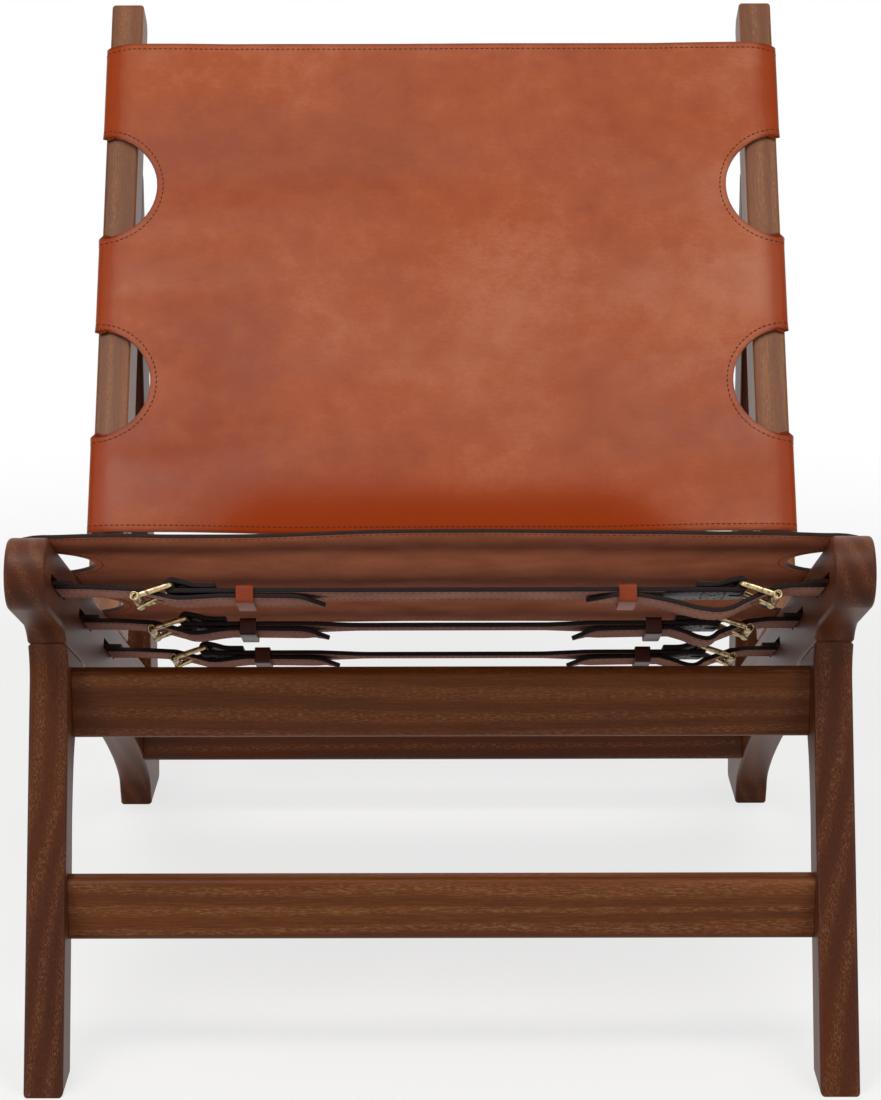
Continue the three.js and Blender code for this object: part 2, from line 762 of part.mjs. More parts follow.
// Materials
function finish(color, roughness, metalness) {
  return new THREE.MeshStandardMaterial({ color, roughness, metalness });
}
const walnut = () => finish('#5a3520', 0.42, 0);
const saddleLeather = () => finish('#a4552f', 0.45, 0);
const strapLeather = () => finish('#5f4038', 0.6, 0);
const keeperLeather = () => finish('#7a3a1e', 0.5, 0);
const brass = () => finish('#a8905c', 0.35, 1);

const chair = new THREE.Group();

function addPiece(parent, name, geometry, material) {
  const mesh = new THREE.Mesh(geometry, material);
  mesh.name = name;
  parent.add(mesh);
  return mesh;
}

// Side frames and crossrails
const sides = [['left', -1], ['right', 1]];
for (const [sideName, side] of sides) {
  const frame = new THREE.Group();
  frame.position.x = side * (halfWidth - boardThickness / 2);
  const boards = sideFrame(side);
  addPiece(frame, `seat_rail_${sideName}`, geometryOf(boards.seatRail), walnut());
  addPiece(frame, `front_leg_${sideName}`, geometryOf(boards.frontLeg), walnut());
  addPiece(frame, `back_post_${sideName}`, geometryOf(boards.backPost), walnut());
  addPiece(frame, `rear_strut_${sideName}`, geometryOf(boards.rearStrut), walnut());
  chair.add(frame);
}
addPiece(chair, 'front_upper_rail', geometryOf(crossrail(upperRail)), walnut());
addPiece(chair, 'front_lower_rail', geometryOf(crossrail(lowerRail)), walnut());
addPiece(chair, 'rear_stretcher', geometryOf(crossrail(rearStretcher)), walnut());
addPiece(chair, 'back_rail', geometryOf(crossrail(backRail)), walnut());

// A hide with its sewn billets, and the straps and buckles that draw it tight. The group lies on
// the timber that carries the hide.
function upholstery(name, hide, origin, turn) {
  const group = new THREE.Group();
  group.position.set(0, origin.x, origin.y);
  group.rotation.x = turn;
  const billets = [];
  runsAt(hide, hide.slotShares).forEach((slot, i) => {
    const drift = hide.strapDrifts[i];
    const row = new THREE.Group();
    row.position.set(drift, slot, -hide.slotDrop);
    addPiece(row, `${name}_middle_strap_${i + 1}`, geometryOf(middleStrap()), strapLeather());
    for (const [sideName, side] of sides) {
      const halfTurnDeg = side > 0 ? 0 : 180;
      const hardware = new THREE.Group();
      hardware.rotation.z = THREE.MathUtils.degToRad(halfTurnDeg);
      const suffix = `${i + 1}_${sideName}`;
      const keeperInset = hide.keeperInsets[sideName][i];
      addPiece(hardware, `${name}_buckle_${suffix}`, geometryOf(buckleFrame()), brass());
      addPiece(hardware, `${name}_prong_${suffix}`, geometryOf(prong()), brass());
      addPiece(hardware, `${name}_keeper_${suffix}`, geometryOf(keeper(keeperInset)), keeperLeather());
      row.add(hardware);
      const place = [0, slot, -hide.slotDrop];
      billets.push(billet(side * drift).rotate([0, 0, halfTurnDeg]).translate(place));
    }
    group.add(row);
  });
  addPiece(group, `${name}_sling`, geometryOf(hideSolid(hide).add(joined(billets))), saddleLeather());
  return group;
}

chair.add(upholstery('seat', seatHide, seatPoint(0, 0), -seatSlope));
chair.add(upholstery('back', backHide, postFoot, quarterTurn - backRecline));

// The post's head is the rearmost point, and the front toe the foremost.
const headCentre = backPoint(postLength - postHeadRounding, postHeadRounding - postHeadDepth);
const overallDepth = headCentre.x + postHeadRounding;
chair.position.y = -overallDepth / 2;

export default chair;
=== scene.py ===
"""Leather sling lounge chair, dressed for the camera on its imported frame.

The timber, hides, straps and buckles are built again here with the rounded arrises, stitching,
cut edges and wear of the real ones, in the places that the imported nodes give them.
"""

import logging
import math
from collections.abc import Callable, Iterable, Sequence
from dataclasses import dataclass, field
from enum import Enum

import bmesh
import bpy
from mathutils import Matrix, Vector, noise


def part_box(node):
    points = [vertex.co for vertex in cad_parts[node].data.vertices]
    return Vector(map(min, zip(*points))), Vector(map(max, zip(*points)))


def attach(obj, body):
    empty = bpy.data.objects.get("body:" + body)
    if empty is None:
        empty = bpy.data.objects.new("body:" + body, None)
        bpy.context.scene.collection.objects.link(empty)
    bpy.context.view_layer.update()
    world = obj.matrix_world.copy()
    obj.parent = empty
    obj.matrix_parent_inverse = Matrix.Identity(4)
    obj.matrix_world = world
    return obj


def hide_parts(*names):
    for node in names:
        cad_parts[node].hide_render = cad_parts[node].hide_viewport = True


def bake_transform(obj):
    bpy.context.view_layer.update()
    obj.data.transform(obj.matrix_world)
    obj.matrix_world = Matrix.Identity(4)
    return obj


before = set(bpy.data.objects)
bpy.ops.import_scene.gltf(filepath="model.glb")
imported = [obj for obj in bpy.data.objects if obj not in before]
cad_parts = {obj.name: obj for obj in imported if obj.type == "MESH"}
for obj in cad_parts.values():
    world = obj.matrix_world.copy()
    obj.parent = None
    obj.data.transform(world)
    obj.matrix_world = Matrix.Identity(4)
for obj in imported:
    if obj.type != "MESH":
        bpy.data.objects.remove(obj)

LOG = logging.getLogger("lounge_chair")
MM = 0.001
FRAME_BODY = "frame"
QUARTER = math.pi / 2
# A wave texture of scale 1 repeats after this many units.
WAVE_PERIOD = 0.314
# The mark of a strap's faces whose back takes the face's dark leather.
DARK_BACK = 3
Pair = tuple[float, float]
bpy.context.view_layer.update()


class Side(Enum):
    """The chair's two sides, by the sign of X."""

    LEFT = -1
    RIGHT = 1

    @property
    def word(self) -> str:
        """The side's word in the nodes' names."""
        return self.name.lower()

    @property
    def turn(self) -> Matrix:
        """The turn that brings hardware drawn for the right to this side."""
        return Matrix.Identity(4) if self is Side.RIGHT else Matrix.Rotation(math.pi, 4, "Z")


# ---- Colour and nodes


def linear(hex_colour: str) -> tuple[float, float, float, float]:
    """Turn an sRGB hex colour to linear light.

    Args:
        hex_colour: Six hex digits after a hash.

    Returns:
        Linear red, green, blue and an alpha of one.
    """
    def channel(start: int) -> float:
        """One channel, from two hex digits."""
        value = int(hex_colour[start:start + 2], 16) / 255
        return value / 12.92 if value <= 0.04045 else ((value + 0.055) / 1.055) ** 2.4

    return channel(1), channel(3), channel(5), 1.0


def add_node(
    tree: bpy.types.NodeTree,
    kind: str,
    values: dict[str | int, object] | None = None,
    links: dict[str | int, bpy.types.NodeSocket] | None = None,
    stops: Sequence[tuple[float, str]] = (),
    **settings: object,
) -> bpy.types.Node:
    """Add one node with its settings and links.

    Args:
        tree: The node tree.
        kind: The node's type.
        values: Input name or number to value.
        links: Input name or number to the socket that feeds it.
        stops: A colour ramp's places and hex colours.
        settings: The node's own properties.

    Returns:
        The new node.
    """
    node = tree.nodes.new(kind)
    for name, value in settings.items():
        setattr(node, name, value)
    for name, value in (values or {}).items():
        node.inputs[name].default_value = value
    for name, socket in (links or {}).items():
        tree.links.new(socket, node.inputs[name])
    for index, (place, colour) in enumerate(stops):
        ramp = node.color_ramp.elements
        element = ramp[index] if index < 2 else ramp.new(place)
        element.position = place
        element.color = linear(colour)
    return node


def new_material(name: str) -> tuple[bpy.types.Material, bpy.types.NodeTree, bpy.types.Node]:
    """Make an empty node material.

    Args:
        name: What the material is.

    Returns:
        The material, its tree and its shader.
    """
    material = bpy.data.materials.new(name)
    material.use_nodes = True
    tree = material.node_tree
    tree.nodes.clear()
    shader = add_node(tree, "ShaderNodeBsdfPrincipled")
    add_node(tree, "ShaderNodeOutputMaterial", links={"Surface": shader.outputs["BSDF"]})
    return material, tree, shader


# ---- Finishes


@dataclass(frozen=True)
class OiledWalnut:
    """Walnut, sawn and sanded, stained dark and oiled to a satin.

    The eye sees an even red-brown with faint growth rings, and short pale pores that draw their
    arches along the board. A soft gloss turns it grey at a low angle. The grain lies along the X of
    each board's attribute of that name.
    """

    name: str = "oiled_walnut"
    dark: str = "#381706"
    body: str = "#4c2107"
    pale: str = "#62300e"
    pore: str = "#9a7558"
    ring_mm: float = 15.0
    fibre_mm: float = 0.9
    pore_mm: float = 0.6
    pore_length: float = 8.0
    pore_share: float = 0.3
    cloud_scale: float = 14.0
    ring_share: float = 0.16
    fibre_share: float = 0.42
    relief_mm: float = 0.1
    roughness: Pair = (0.38, 0.48)
    specular: float = 0.2
    ior: float = 1.45

    def material(self) -> bpy.types.Material:
        """Build the finish's material."""
        material, tree, shader = new_material(self.name)
        coords = add_node(tree, "ShaderNodeAttribute", attribute_name="grain")
        info = add_node(tree, "ShaderNodeObjectInfo")
        shift = add_node(tree, "ShaderNodeVectorMath", operation="SCALE",
                         values={0: (3.1, 0.17, 0.23)}, links={"Scale": info.outputs["Random"]})
        place = add_node(tree, "ShaderNodeVectorMath", operation="ADD",
                         links={0: coords.outputs["Vector"], 1: shift.outputs["Vector"]})
        sawn = add_node(tree, "ShaderNodeMapping",
                        values={"Scale": (0.07, 1, 1), "Rotation": (0.6, 0, 0)},
                        links={"Vector": place.outputs["Vector"]})
        drawn = add_node(tree, "ShaderNodeMapping", values={"Scale": (1 / self.pore_length, 1, 1)},
                         links={"Vector": place.outputs["Vector"]})
        long = add_node(tree, "ShaderNodeMapping", values={"Scale": (0.03, 1, 1)},
                        links={"Vector": place.outputs["Vector"]})
        rings = add_node(
            tree, "ShaderNodeTexWave", wave_type="BANDS", bands_direction="Z", wave_profile="SIN",
            values={"Scale": WAVE_PERIOD / (self.ring_mm * MM), "Distortion": 9.0, "Detail": 2.0,
                    "Detail Scale": 0.8, "Detail Roughness": 0.5},
            links={"Vector": sawn.outputs["Vector"]},
        )
        fibres = add_node(tree, "ShaderNodeTexNoise",
                          values={"Scale": 1 / (self.fibre_mm * MM), "Detail": 3.0, "Roughness": 0.6},
                          links={"Vector": long.outputs["Vector"]})
        pores = add_node(tree, "ShaderNodeTexNoise",
                         values={"Scale": 1 / (self.pore_mm * MM), "Detail": 1.0},
                         links={"Vector": drawn.outputs["Vector"]})
        clouds = add_node(tree, "ShaderNodeTexNoise",
                          values={"Scale": self.cloud_scale, "Detail": 3.0},
                          links={"Vector": sawn.outputs["Vector"]})
        banded = add_node(tree, "ShaderNodeMix", values={0: self.ring_share},
                          links={2: clouds.outputs["Fac"], 3: rings.outputs["Fac"]})
        mixed = add_node(tree, "ShaderNodeMix", values={0: self.fibre_share},
                         links={2: banded.outputs[0], 3: fibres.outputs["Fac"]})
        tone = add_node(tree, "ShaderNodeValToRGB", links={"Fac": mixed.outputs[0]},
                        stops=[(0.32, self.dark), (0.68, self.pale), (0.5, self.body)])
        early = add_node(tree, "ShaderNodeMapRange", values={1: 0.35, 2: 0.95, 3: 0.15, 4: 1.0},
                         links={0: rings.outputs["Fac"]})
        flecks = add_node(tree, "ShaderNodeMapRange", values={1: 0.53, 2: 0.63},
                          links={0: pores.outputs["Fac"]})
        pits = add_node(tree, "ShaderNodeMath", operation="MULTIPLY",
                        links={0: early.outputs[0], 1: flecks.outputs[0]})
        filled = add_node(tree, "ShaderNodeMath", operation="MULTIPLY", values={1: self.pore_share},
                          links={0: pits.outputs[0]})
        colour = add_node(tree, "ShaderNodeMix", data_type="RGBA", values={7: linear(self.pore)},
                          links={0: filled.outputs[0], 6: tone.outputs["Color"]})
        gloss = add_node(tree, "ShaderNodeMapRange",
                         values={3: self.roughness[0], 4: self.roughness[1]},
                         links={0: fibres.outputs["Fac"]})
        depth = add_node(tree, "ShaderNodeMath", operation="SUBTRACT",
                         links={0: fibres.outputs["Fac"], 1: pits.outputs[0]})
        bump = add_node(tree, "ShaderNodeBump", values={"Strength": 0.2, "Distance": self.relief_mm * MM},
                        links={"Height": depth.outputs[0]})
        tree.links.new(colour.outputs[2], shader.inputs["Base Color"])
        tree.links.new(gloss.outputs[0], shader.inputs["Roughness"])
        tree.links.new(bump.outputs["Normal"], shader.inputs["Normal"])
        shader.inputs["IOR"].default_value = self.ior
        shader.inputs["Specular IOR Level"].default_value = self.specular
        return material


@dataclass(frozen=True)
class GrainLeather:
    """Vegetable-tanned cowhide, dyed and waxed, grain side out.

    The eye sees cloudy tan and orange patches, faint growth wrinkles, fine pores and a waxy
    sheen. It is darker where the edge was burnished. Where it is bent it is smoother, with less haze
    over its colour, and its colour is painted deeper and richer there: painted shade for the light
    that the bent leather reflects less.
    """

    name: str
    deep: str
    body: str
    pale: str
    # The colour painted where the leather is bent: painted shade.
    worked: str
    patch_mm: float = 170.0
    mottle_mm: float = 24.0
    streak_mm: float = 2.6
    speck_mm: float = 1.6
    wax_mm: float = 75.0
    wrinkle_mm: float = 7.0
    pore_mm: float = 1.4
    mottle_share: float = 0.4
    speck_share: float = 0.55
    grain_share: float = 0.24
    relief_mm: float = 0.2
    burnish: str = "#8a6a58"
    burnish_mm: float = 3.2
    bent_share: float = 0.93
    bent_roughness: float = 0.2
    bent_sheen: float = 0.2
    roughness: Pair = (0.25, 0.49)
    specular: float = 0.22

    def material(self) -> bpy.types.Material:
        """Build the finish's material."""
        material, tree, shader = new_material(self.name)
        coords = add_node(tree, "ShaderNodeTexCoord")
        info = add_node(tree, "ShaderNodeObjectInfo")
        shift = add_node(tree, "ShaderNodeVectorMath", operation="SCALE",
                         values={0: (1.3, 2.9, 0.7)}, links={"Scale": info.outputs["Random"]})
        place = add_node(tree, "ShaderNodeVectorMath", operation="ADD",
                         links={0: coords.outputs["Object"], 1: shift.outputs["Vector"]})
        where = place.outputs["Vector"]
        patches = add_node(tree, "ShaderNodeTexNoise",
                           values={"Scale": 1 / (self.patch_mm * MM), "Detail": 2.0, "Roughness": 0.45},
                           links={"Vector": where})
        mottle = add_node(tree, "ShaderNodeTexNoise",
                          values={"Scale": 1 / (self.mottle_mm * MM), "Detail": 7.0, "Roughness": 0.66},
                          links={"Vector": where})
        drawn = add_node(tree, "ShaderNodeMapping",
                         values={"Scale": (1, 0.35, 0.35), "Rotation": (0, 0, 0.2)},
                         links={"Vector": where})
        wrinkles = add_node(tree, "ShaderNodeTexNoise",
                            values={"Scale": 1 / (self.wrinkle_mm * MM), "Detail": 4.0, "Distortion": 1.2},
                            links={"Vector": drawn.outputs["Vector"]})
        pores = add_node(tree, "ShaderNodeTexVoronoi", feature="DISTANCE_TO_EDGE",
                         values={"Scale": 1 / (self.pore_mm * MM)}, links={"Vector": where})
        pulled = add_node(tree, "ShaderNodeMapping", values={"Scale": (0.3, 1, 1)},
                          links={"Vector": where})
        streaks = add_node(tree, "ShaderNodeTexNoise",
                           values={"Scale": 1 / (self.streak_mm * MM), "Detail": 3.0, "Roughness": 0.7},
                           links={"Vector": pulled.outputs["Vector"]})
        wax = add_node(tree, "ShaderNodeTexNoise",
                       values={"Scale": 1 / (self.wax_mm * MM), "Detail": 3.0, "Distortion": 0.6},
                       links={"Vector": pulled.outputs["Vector"]})
        blend = add_node(tree, "ShaderNodeMix", values={0: self.mottle_share},
                         links={2: patches.outputs["Fac"], 3: mottle.outputs["Fac"]})
        specks = add_node(tree, "ShaderNodeTexNoise",
                          values={"Scale": 1 / (self.speck_mm * MM), "Detail": 2.0, "Roughness": 0.7},
                          links={"Vector": where})
        fine = add_node(tree, "ShaderNodeMix", values={0: self.speck_share},
                        links={2: streaks.outputs["Fac"], 3: specks.outputs["Fac"]})
        grained = add_node(tree, "ShaderNodeMix", values={0: self.grain_share},
                           links={2: blend.outputs[0], 3: fine.outputs[0]})
        tone = add_node(tree, "ShaderNodeValToRGB", links={"Fac": grained.outputs[0]},
                        stops=[(0.38, self.deep), (0.62, self.pale), (0.5, self.body)])
        edge = add_node(tree, "ShaderNodeAttribute", attribute_name="edge_mm")
        near_edge = add_node(tree, "ShaderNodeMapRange",
                             values={1: 0.0, 2: self.burnish_mm, 3: 0.6, 4: 0.0},
                             links={0: edge.outputs["Fac"]})
        bend = add_node(tree, "ShaderNodeAttribute", attribute_name="bend")
        share = add_node(tree, "ShaderNodeMath", operation="MULTIPLY", values={1: self.bent_share},
                         links={0: bend.outputs["Fac"]})
        # Painted shade: a deeper colour mixed in where the leather is bent.
        bent = add_node(tree, "ShaderNodeMix", data_type="RGBA", values={7: linear(self.worked)},
                        links={0: share.outputs[0], 6: tone.outputs["Color"]})
        rubbed = add_node(tree, "ShaderNodeMix", data_type="RGBA", blend_type="MULTIPLY",
                          values={7: linear(self.burnish)},
                          links={0: near_edge.outputs[0], 6: bent.outputs[2]})
        gloss = add_node(tree, "ShaderNodeMapRange",
                         values={1: 0.35, 2: 0.65, 3: self.roughness[0], 4: self.roughness[1]},
                         links={0: wax.outputs["Fac"]})
        polished = add_node(tree, "ShaderNodeMix", values={3: self.bent_roughness},
                            links={0: share.outputs[0], 2: gloss.outputs[0]})
        sheen = add_node(tree, "ShaderNodeMapRange",
                         values={3: self.specular, 4: self.bent_sheen * self.specular},
                         links={0: share.outputs[0]})
        cells = add_node(tree, "ShaderNodeMapRange", values={1: 0.0, 2: 0.12},
                         links={0: pores.outputs["Distance"]})
        relief = add_node(tree, "ShaderNodeMix", values={0: 0.6},
                          links={2: cells.outputs[0], 3: wrinkles.outputs["Fac"]})
        bump = add_node(tree, "ShaderNodeBump", values={"Strength": 0.45, "Distance": self.relief_mm * MM},
                        links={"Height": relief.outputs[0]})
        tree.links.new(rubbed.outputs[2], shader.inputs["Base Color"])
        tree.links.new(polished.outputs[0], shader.inputs["Roughness"])
        tree.links.new(sheen.outputs[0], shader.inputs["Specular IOR Level"])
        tree.links.new(bump.outputs["Normal"], shader.inputs["Normal"])
        return material


@dataclass(frozen=True)
class FleshLeather:
    """The flesh side of the hide, brushed to a short nap.

    The eye sees a matt brown with loose fibres and faint clouding, and no gloss.
    """

    name: str
    deep: str
    pale: str
    fibre_mm: float = 1.6
    cloud_mm: float = 45.0
    relief_mm: float = 0.25
    roughness: float = 0.85
    specular: float = 0.15

    def material(self) -> bpy.types.Material:
        """Build the finish's material."""
        material, tree, shader = new_material(self.name)
        coords = add_node(tree, "ShaderNodeTexCoord")
        where = coords.outputs["Object"]
        clouds = add_node(tree, "ShaderNodeTexNoise",
                          values={"Scale": 1 / (self.cloud_mm * MM), "Detail": 5.0},
                          links={"Vector": where})
        fibres = add_node(tree, "ShaderNodeTexNoise",
                          values={"Scale": 1 / (self.fibre_mm * MM), "Detail": 4.0, "Roughness": 0.7,
                                  "Distortion": 1.5},
                          links={"Vector": where})
        blend = add_node(tree, "ShaderNodeMix", values={0: 0.5},
                         links={2: clouds.outputs["Fac"], 3: fibres.outputs["Fac"]})
        tone = add_node(tree, "ShaderNodeValToRGB", links={"Fac": blend.outputs[0]},
                        stops=[(0.38, self.deep), (0.64, self.pale)])
        bump = add_node(tree, "ShaderNodeBump", values={"Strength": 0.5, "Distance": self.relief_mm * MM},
                        links={"Height": fibres.outputs["Fac"]})
        tree.links.new(tone.outputs["Color"], shader.inputs["Base Color"])
        tree.links.new(bump.outputs["Normal"], shader.inputs["Normal"])
        shader.inputs["Roughness"].default_value = self.roughness
        shader.inputs["Specular IOR Level"].default_value = self.specular
        return material


@dataclass(frozen=True)
class EdgePaint:
    """The hide's cut edge, painted and burnished.

    The eye sees a dark, nearly even line with a dull shine.
    """

    name: str
    dark: str
    pale: str
    layer_scale: float = 900.0
    relief_mm: float = 0.1
    roughness: float = 0.6
    specular: float = 0.15

    def material(self) -> bpy.types.Material:
        """Build the finish's material."""
        material, tree, shader = new_material(self.name)
        coords = add_node(tree, "ShaderNodeTexCoord")
        layers = add_node(tree, "ShaderNodeTexNoise",
                          values={"Scale": self.layer_scale, "Detail": 3.0},
                          links={"Vector": coords.outputs["Object"]})
        tone = add_node(tree, "ShaderNodeValToRGB", links={"Fac": layers.outputs["Fac"]},
                        stops=[(0.35, self.dark), (0.7, self.pale)])
        bump = add_node(tree, "ShaderNodeBump", values={"Strength": 0.3, "Distance": self.relief_mm * MM},
                        links={"Height": layers.outputs["Fac"]})
        tree.links.new(tone.outputs["Color"], shader.inputs["Base Color"])
        tree.links.new(bump.outputs["Normal"], shader.inputs["Normal"])
        shader.inputs["Roughness"].default_value = self.roughness
        shader.inputs["Specular IOR Level"].default_value = self.specular
        return material


@dataclass(frozen=True)
class WaxedThread:
    """Waxed linen thread.

    The eye sees short dark bars with a slight twist and a dull shine.
    """

    name: str
    dark: str
    pale: str
    twist_mm: float = 0.5
    roughness: float = 0.7
    specular: float = 0.2

    def material(self) -> bpy.types.Material:
        """Build the finish's material."""
        material, tree, shader = new_material(self.name)
        coords = add_node(tree, "ShaderNodeTexCoord")
        twist = add_node(tree, "ShaderNodeTexWave", bands_direction="DIAGONAL",
                         values={"Scale": WAVE_PERIOD / (self.twist_mm * MM), "Distortion": 1.0},
                         links={"Vector": coords.outputs["Object"]})
        tone = add_node(tree, "ShaderNodeValToRGB", links={"Fac": twist.outputs["Fac"]},
                        stops=[(0.2, self.dark), (0.9, self.pale)])
        tree.links.new(tone.outputs["Color"], shader.inputs["Base Color"])
        shader.inputs["Roughness"].default_value = self.roughness
        shader.inputs["Specular IOR Level"].default_value = self.specular
        return material


@dataclass(frozen=True)
class AntiqueBrass:
    """Cast brass, darkened in a bath and rubbed back.

    The eye sees warm bright metal on the high parts and brown tarnish in between.
    """

    name: str = "antique_brass"
    bright: str = "#c2ab82"
    tarnish: str = "#54452f"
    cloud_mm: float = 3.5
    relief_mm: float = 0.08
    roughness: Pair = (0.24, 0.45)

    def material(self) -> bpy.types.Material:
        """Build the finish's material."""
        material, tree, shader = new_material(self.name)
        coords = add_node(tree, "ShaderNodeTexCoord")
        clouds = add_node(tree, "ShaderNodeTexNoise",
                          values={"Scale": 1 / (self.cloud_mm * MM), "Detail": 4.0, "Roughness": 0.6},
                          links={"Vector": coords.outputs["Object"]})
        tone = add_node(tree, "ShaderNodeValToRGB", links={"Fac": clouds.outputs["Fac"]},
                        stops=[(0.34, self.tarnish), (0.55, self.bright)])
        gloss = add_node(tree, "ShaderNodeMapRange",
                         values={1: 0.3, 2: 0.7, 3: self.roughness[1], 4: self.roughness[0]},
                         links={0: clouds.outputs["Fac"]})
        bump = add_node(tree, "ShaderNodeBump", values={"Strength": 0.15, "Distance": self.relief_mm * MM},
                        links={"Height": clouds.outputs["Fac"]})
        tree.links.new(tone.outputs["Color"], shader.inputs["Base Color"])
        tree.links.new(gloss.outputs[0], shader.inputs["Roughness"])
        tree.links.new(bump.outputs["Normal"], shader.inputs["Normal"])
        shader.inputs["Metallic"].default_value = 1.0
        return material


@dataclass(frozen=True)
class Finishes:
    """Every material of the chair, made once."""

    walnut: bpy.types.Material
    # Lighter copies of the walnut: painted light on the front crossrails and the posts.
    rail_walnut: bpy.types.Material
    post_walnut: bpy.types.Material
    saddle: bpy.types.Material
    hide_back: bpy.types.Material
    painted_edge: bpy.types.Material
    raw_edge: bpy.types.Material
    strap_face: bpy.types.Material
    strap_grain: bpy.types.Material
    strap_edge: bpy.types.Material
    keeper_tan: bpy.types.Material
    keeper_brown: bpy.types.Material
    hide_thread: bpy.types.Material
    strap_thread: bpy.types.Material
    brass: bpy.types.Material

    @classmethod
    def made(cls) -> "Finishes":
        """Make every material."""
        return cls(
            walnut=OiledWalnut().material(),
            # Painted light: lighter walnut for the front crossrails and the posts, which catch more light.
            rail_walnut=OiledWalnut("oiled_walnut_rails", "#45210b", "#633210", "#7c4720",
                                    pore_share=0.42).material(),
            post_walnut=OiledWalnut("oiled_walnut_posts", "#553019", "#744526", "#8e5b37",
                                    pore_share=0.42, specular=0.26).material(),
            saddle=GrainLeather("saddle_leather", "#8b390f", "#9c481b", "#ab5f3c",
                                "#933507").material(),
            hide_back=FleshLeather("hide_flesh_side", "#985032", "#bd7150").material(),
            painted_edge=EdgePaint("hide_painted_edge", "#160b07", "#2c1a13").material(),
            raw_edge=EdgePaint("hide_raw_edge", "#8a4f38", "#a76c52").material(),
            strap_face=FleshLeather("strap_flesh_side", "#7a4f42", "#a87868").material(),
            strap_grain=GrainLeather("strap_grain_side", "#150c09", "#1e120e", "#291a14", "#150c09",
                                     specular=0.2).material(),
            strap_edge=EdgePaint("strap_painted_edge", "#0b0605", "#1c110e").material(),
            keeper_tan=GrainLeather("keeper_tan_leather", "#8a2f08", "#a4400f", "#b4581f",
                                    "#8a2f08").material(),
            keeper_brown=GrainLeather("keeper_brown_leather", "#451a0e", "#592614", "#6b3522",
                                      "#451a0e").material(),
            hide_thread=WaxedThread("hide_thread", "#33140a", "#4c2414").material(),
            strap_thread=WaxedThread("strap_thread", "#1c100c", "#3a2620").material(),
            brass=AntiqueBrass().material(),
        )

    def wood(self, node: str) -> bpy.types.Material:
        """The walnut of a node's board: the posts and the front crossrails take lighter copies, painted
        light for the light that falls on them.
        """
        if node.startswith("back_post"):
            return self.post_walnut
        return self.rail_walnut if node.startswith("front") and node.endswith("rail") else self.walnut


# ---- Shapes


def arc(centre: Pair, radius: float, start: float, end: float, steps: int) -> list[Pair]:
    """Points on an arc, both ends included.

    Args:
        centre: The arc's centre.
        radius: Its radius.
        start: The first angle, in radians.
        end: The last angle.
        steps: How many chords.

    Returns:
        The points in order.
    """
    angles = (start + (end - start) * i / steps for i in range(steps + 1))
    return [(centre[0] + radius * math.cos(a), centre[1] + radius * math.sin(a)) for a in angles]


def rounded_ring(low: Pair, high: Pair, radius: float, steps: int) -> list[Pair]:
    """A ring round four corners.

    Args:
        low: The lowest of the corners' centres.
        high: The highest of them.
        radius: The corners' radius.
        steps: How many chords in each corner.

    Returns:
        The points in order, from the highest corner.
    """
    corners = (high, (low[0], high[1]), low, (high[0], low[1]))
    return [point for i, corner in enumerate(corners)
            for point in arc(corner, radius, i * QUARTER, (i + 1) * QUARTER, steps)]


def crossing(a: Pair, b: Pair, c: Pair, d: Pair) -> Pair:
    """The crossing of the line through a and b with the line through c and d."""
    ab = (b[0] - a[0], b[1] - a[1])
    cd = (d[0] - c[0], d[1] - c[1])
    t = ((c[0] - a[0]) * cd[1] - (c[1] - a[1]) * cd[0]) / (ab[0] * cd[1] - ab[1] * cd[0])
    return a[0] + t * ab[0], a[1] + t * ab[1]


def spline(points: Sequence[Pair], steps: int) -> list[Pair]:
    """A smooth curve through points.

    Args:
        points: The points that it passes through.
        steps: How many chords between each two.

    Returns:
        Points along the curve, both ends included.
    """
    path = []
    last = len(points) - 1
    for i in range(last):
        p0, p1, p2, p3 = (points[max(0, min(last, i + k))] for k in (-1, 0, 1, 2))
        for j in range(steps):
            t = j / steps
            path.append(tuple(
                0.5 * (2 * p1[k] + (p2[k] - p0[k]) * t
                       + (2 * p0[k] - 5 * p1[k] + 4 * p2[k] - p3[k]) * t * t
                       + (3 * p1[k] - p0[k] - 3 * p2[k] + p3[k]) * t ** 3)
                for k in (0, 1)
            ))
    return [*path, points[-1]]


def lengths_along(path: Sequence[Pair]) -> list[float]:
    """The distance along a path to each of its points."""
    total = [0.0]
    for a, b in zip(path, path[1:]):
        total.append(total[-1] + math.dist(a, b))
    return total


def along(points: Sequence[Pair]) -> tuple[Callable[[float], Pair], float]:
    """Read a path by distance.

    Args:
        points: The path.

    Returns:
        A function from a distance to a point, and the path's length.
    """
    marks = lengths_along(points)

    def at(distance: float) -> Pair:
        """The point at a distance."""
        distance = max(0.0, min(marks[-1], distance))
        i = 0
        while i < len(marks) - 2 and marks[i + 1] < distance:
            i += 1
        t = (distance - marks[i]) / max(marks[i + 1] - marks[i], 1e-9)
        a, b = points[i], points[i + 1]
        return a[0] + t * (b[0] - a[0]), a[1] + t * (b[1] - a[1])

    return at, marks[-1]


def skin(work: bmesh.types.BMesh, rings: Sequence[Sequence[bmesh.types.BMVert]],
         closed: bool = False) -> None:
    """Join rings of vertices with faces.

    Args:
        work: The mesh in work.
        rings: The rings, all of one length.
        closed: Whether the last ring joins the first. If not, both ends are capped.
    """
    pairs = [*zip(rings, rings[1:]), *([(rings[-1], rings[0])] if closed else [])]
    for a, b in pairs:
        for i in range(len(a)):
            j = (i + 1) % len(a)
            work.faces.new((a[i], a[j], b[j], b[i]))
    if not closed:
        work.faces.new(list(reversed(rings[0])))
        work.faces.new(rings[-1])


def finished(work: bmesh.types.BMesh, name: str,
             materials: Iterable[bpy.types.Material] = ()) -> bpy.types.Mesh:
    """Turn a mesh in work into a mesh with its materials.

    Args:
        work: The mesh in work, which is freed.
        name: The mesh's name.
        materials: Its materials in order.

    Returns:
        The mesh.
    """
    mesh = bpy.data.meshes.new(name)
    work.to_mesh(mesh)
    work.free()
    for material in materials:
        mesh.materials.append(material)
    return mesh


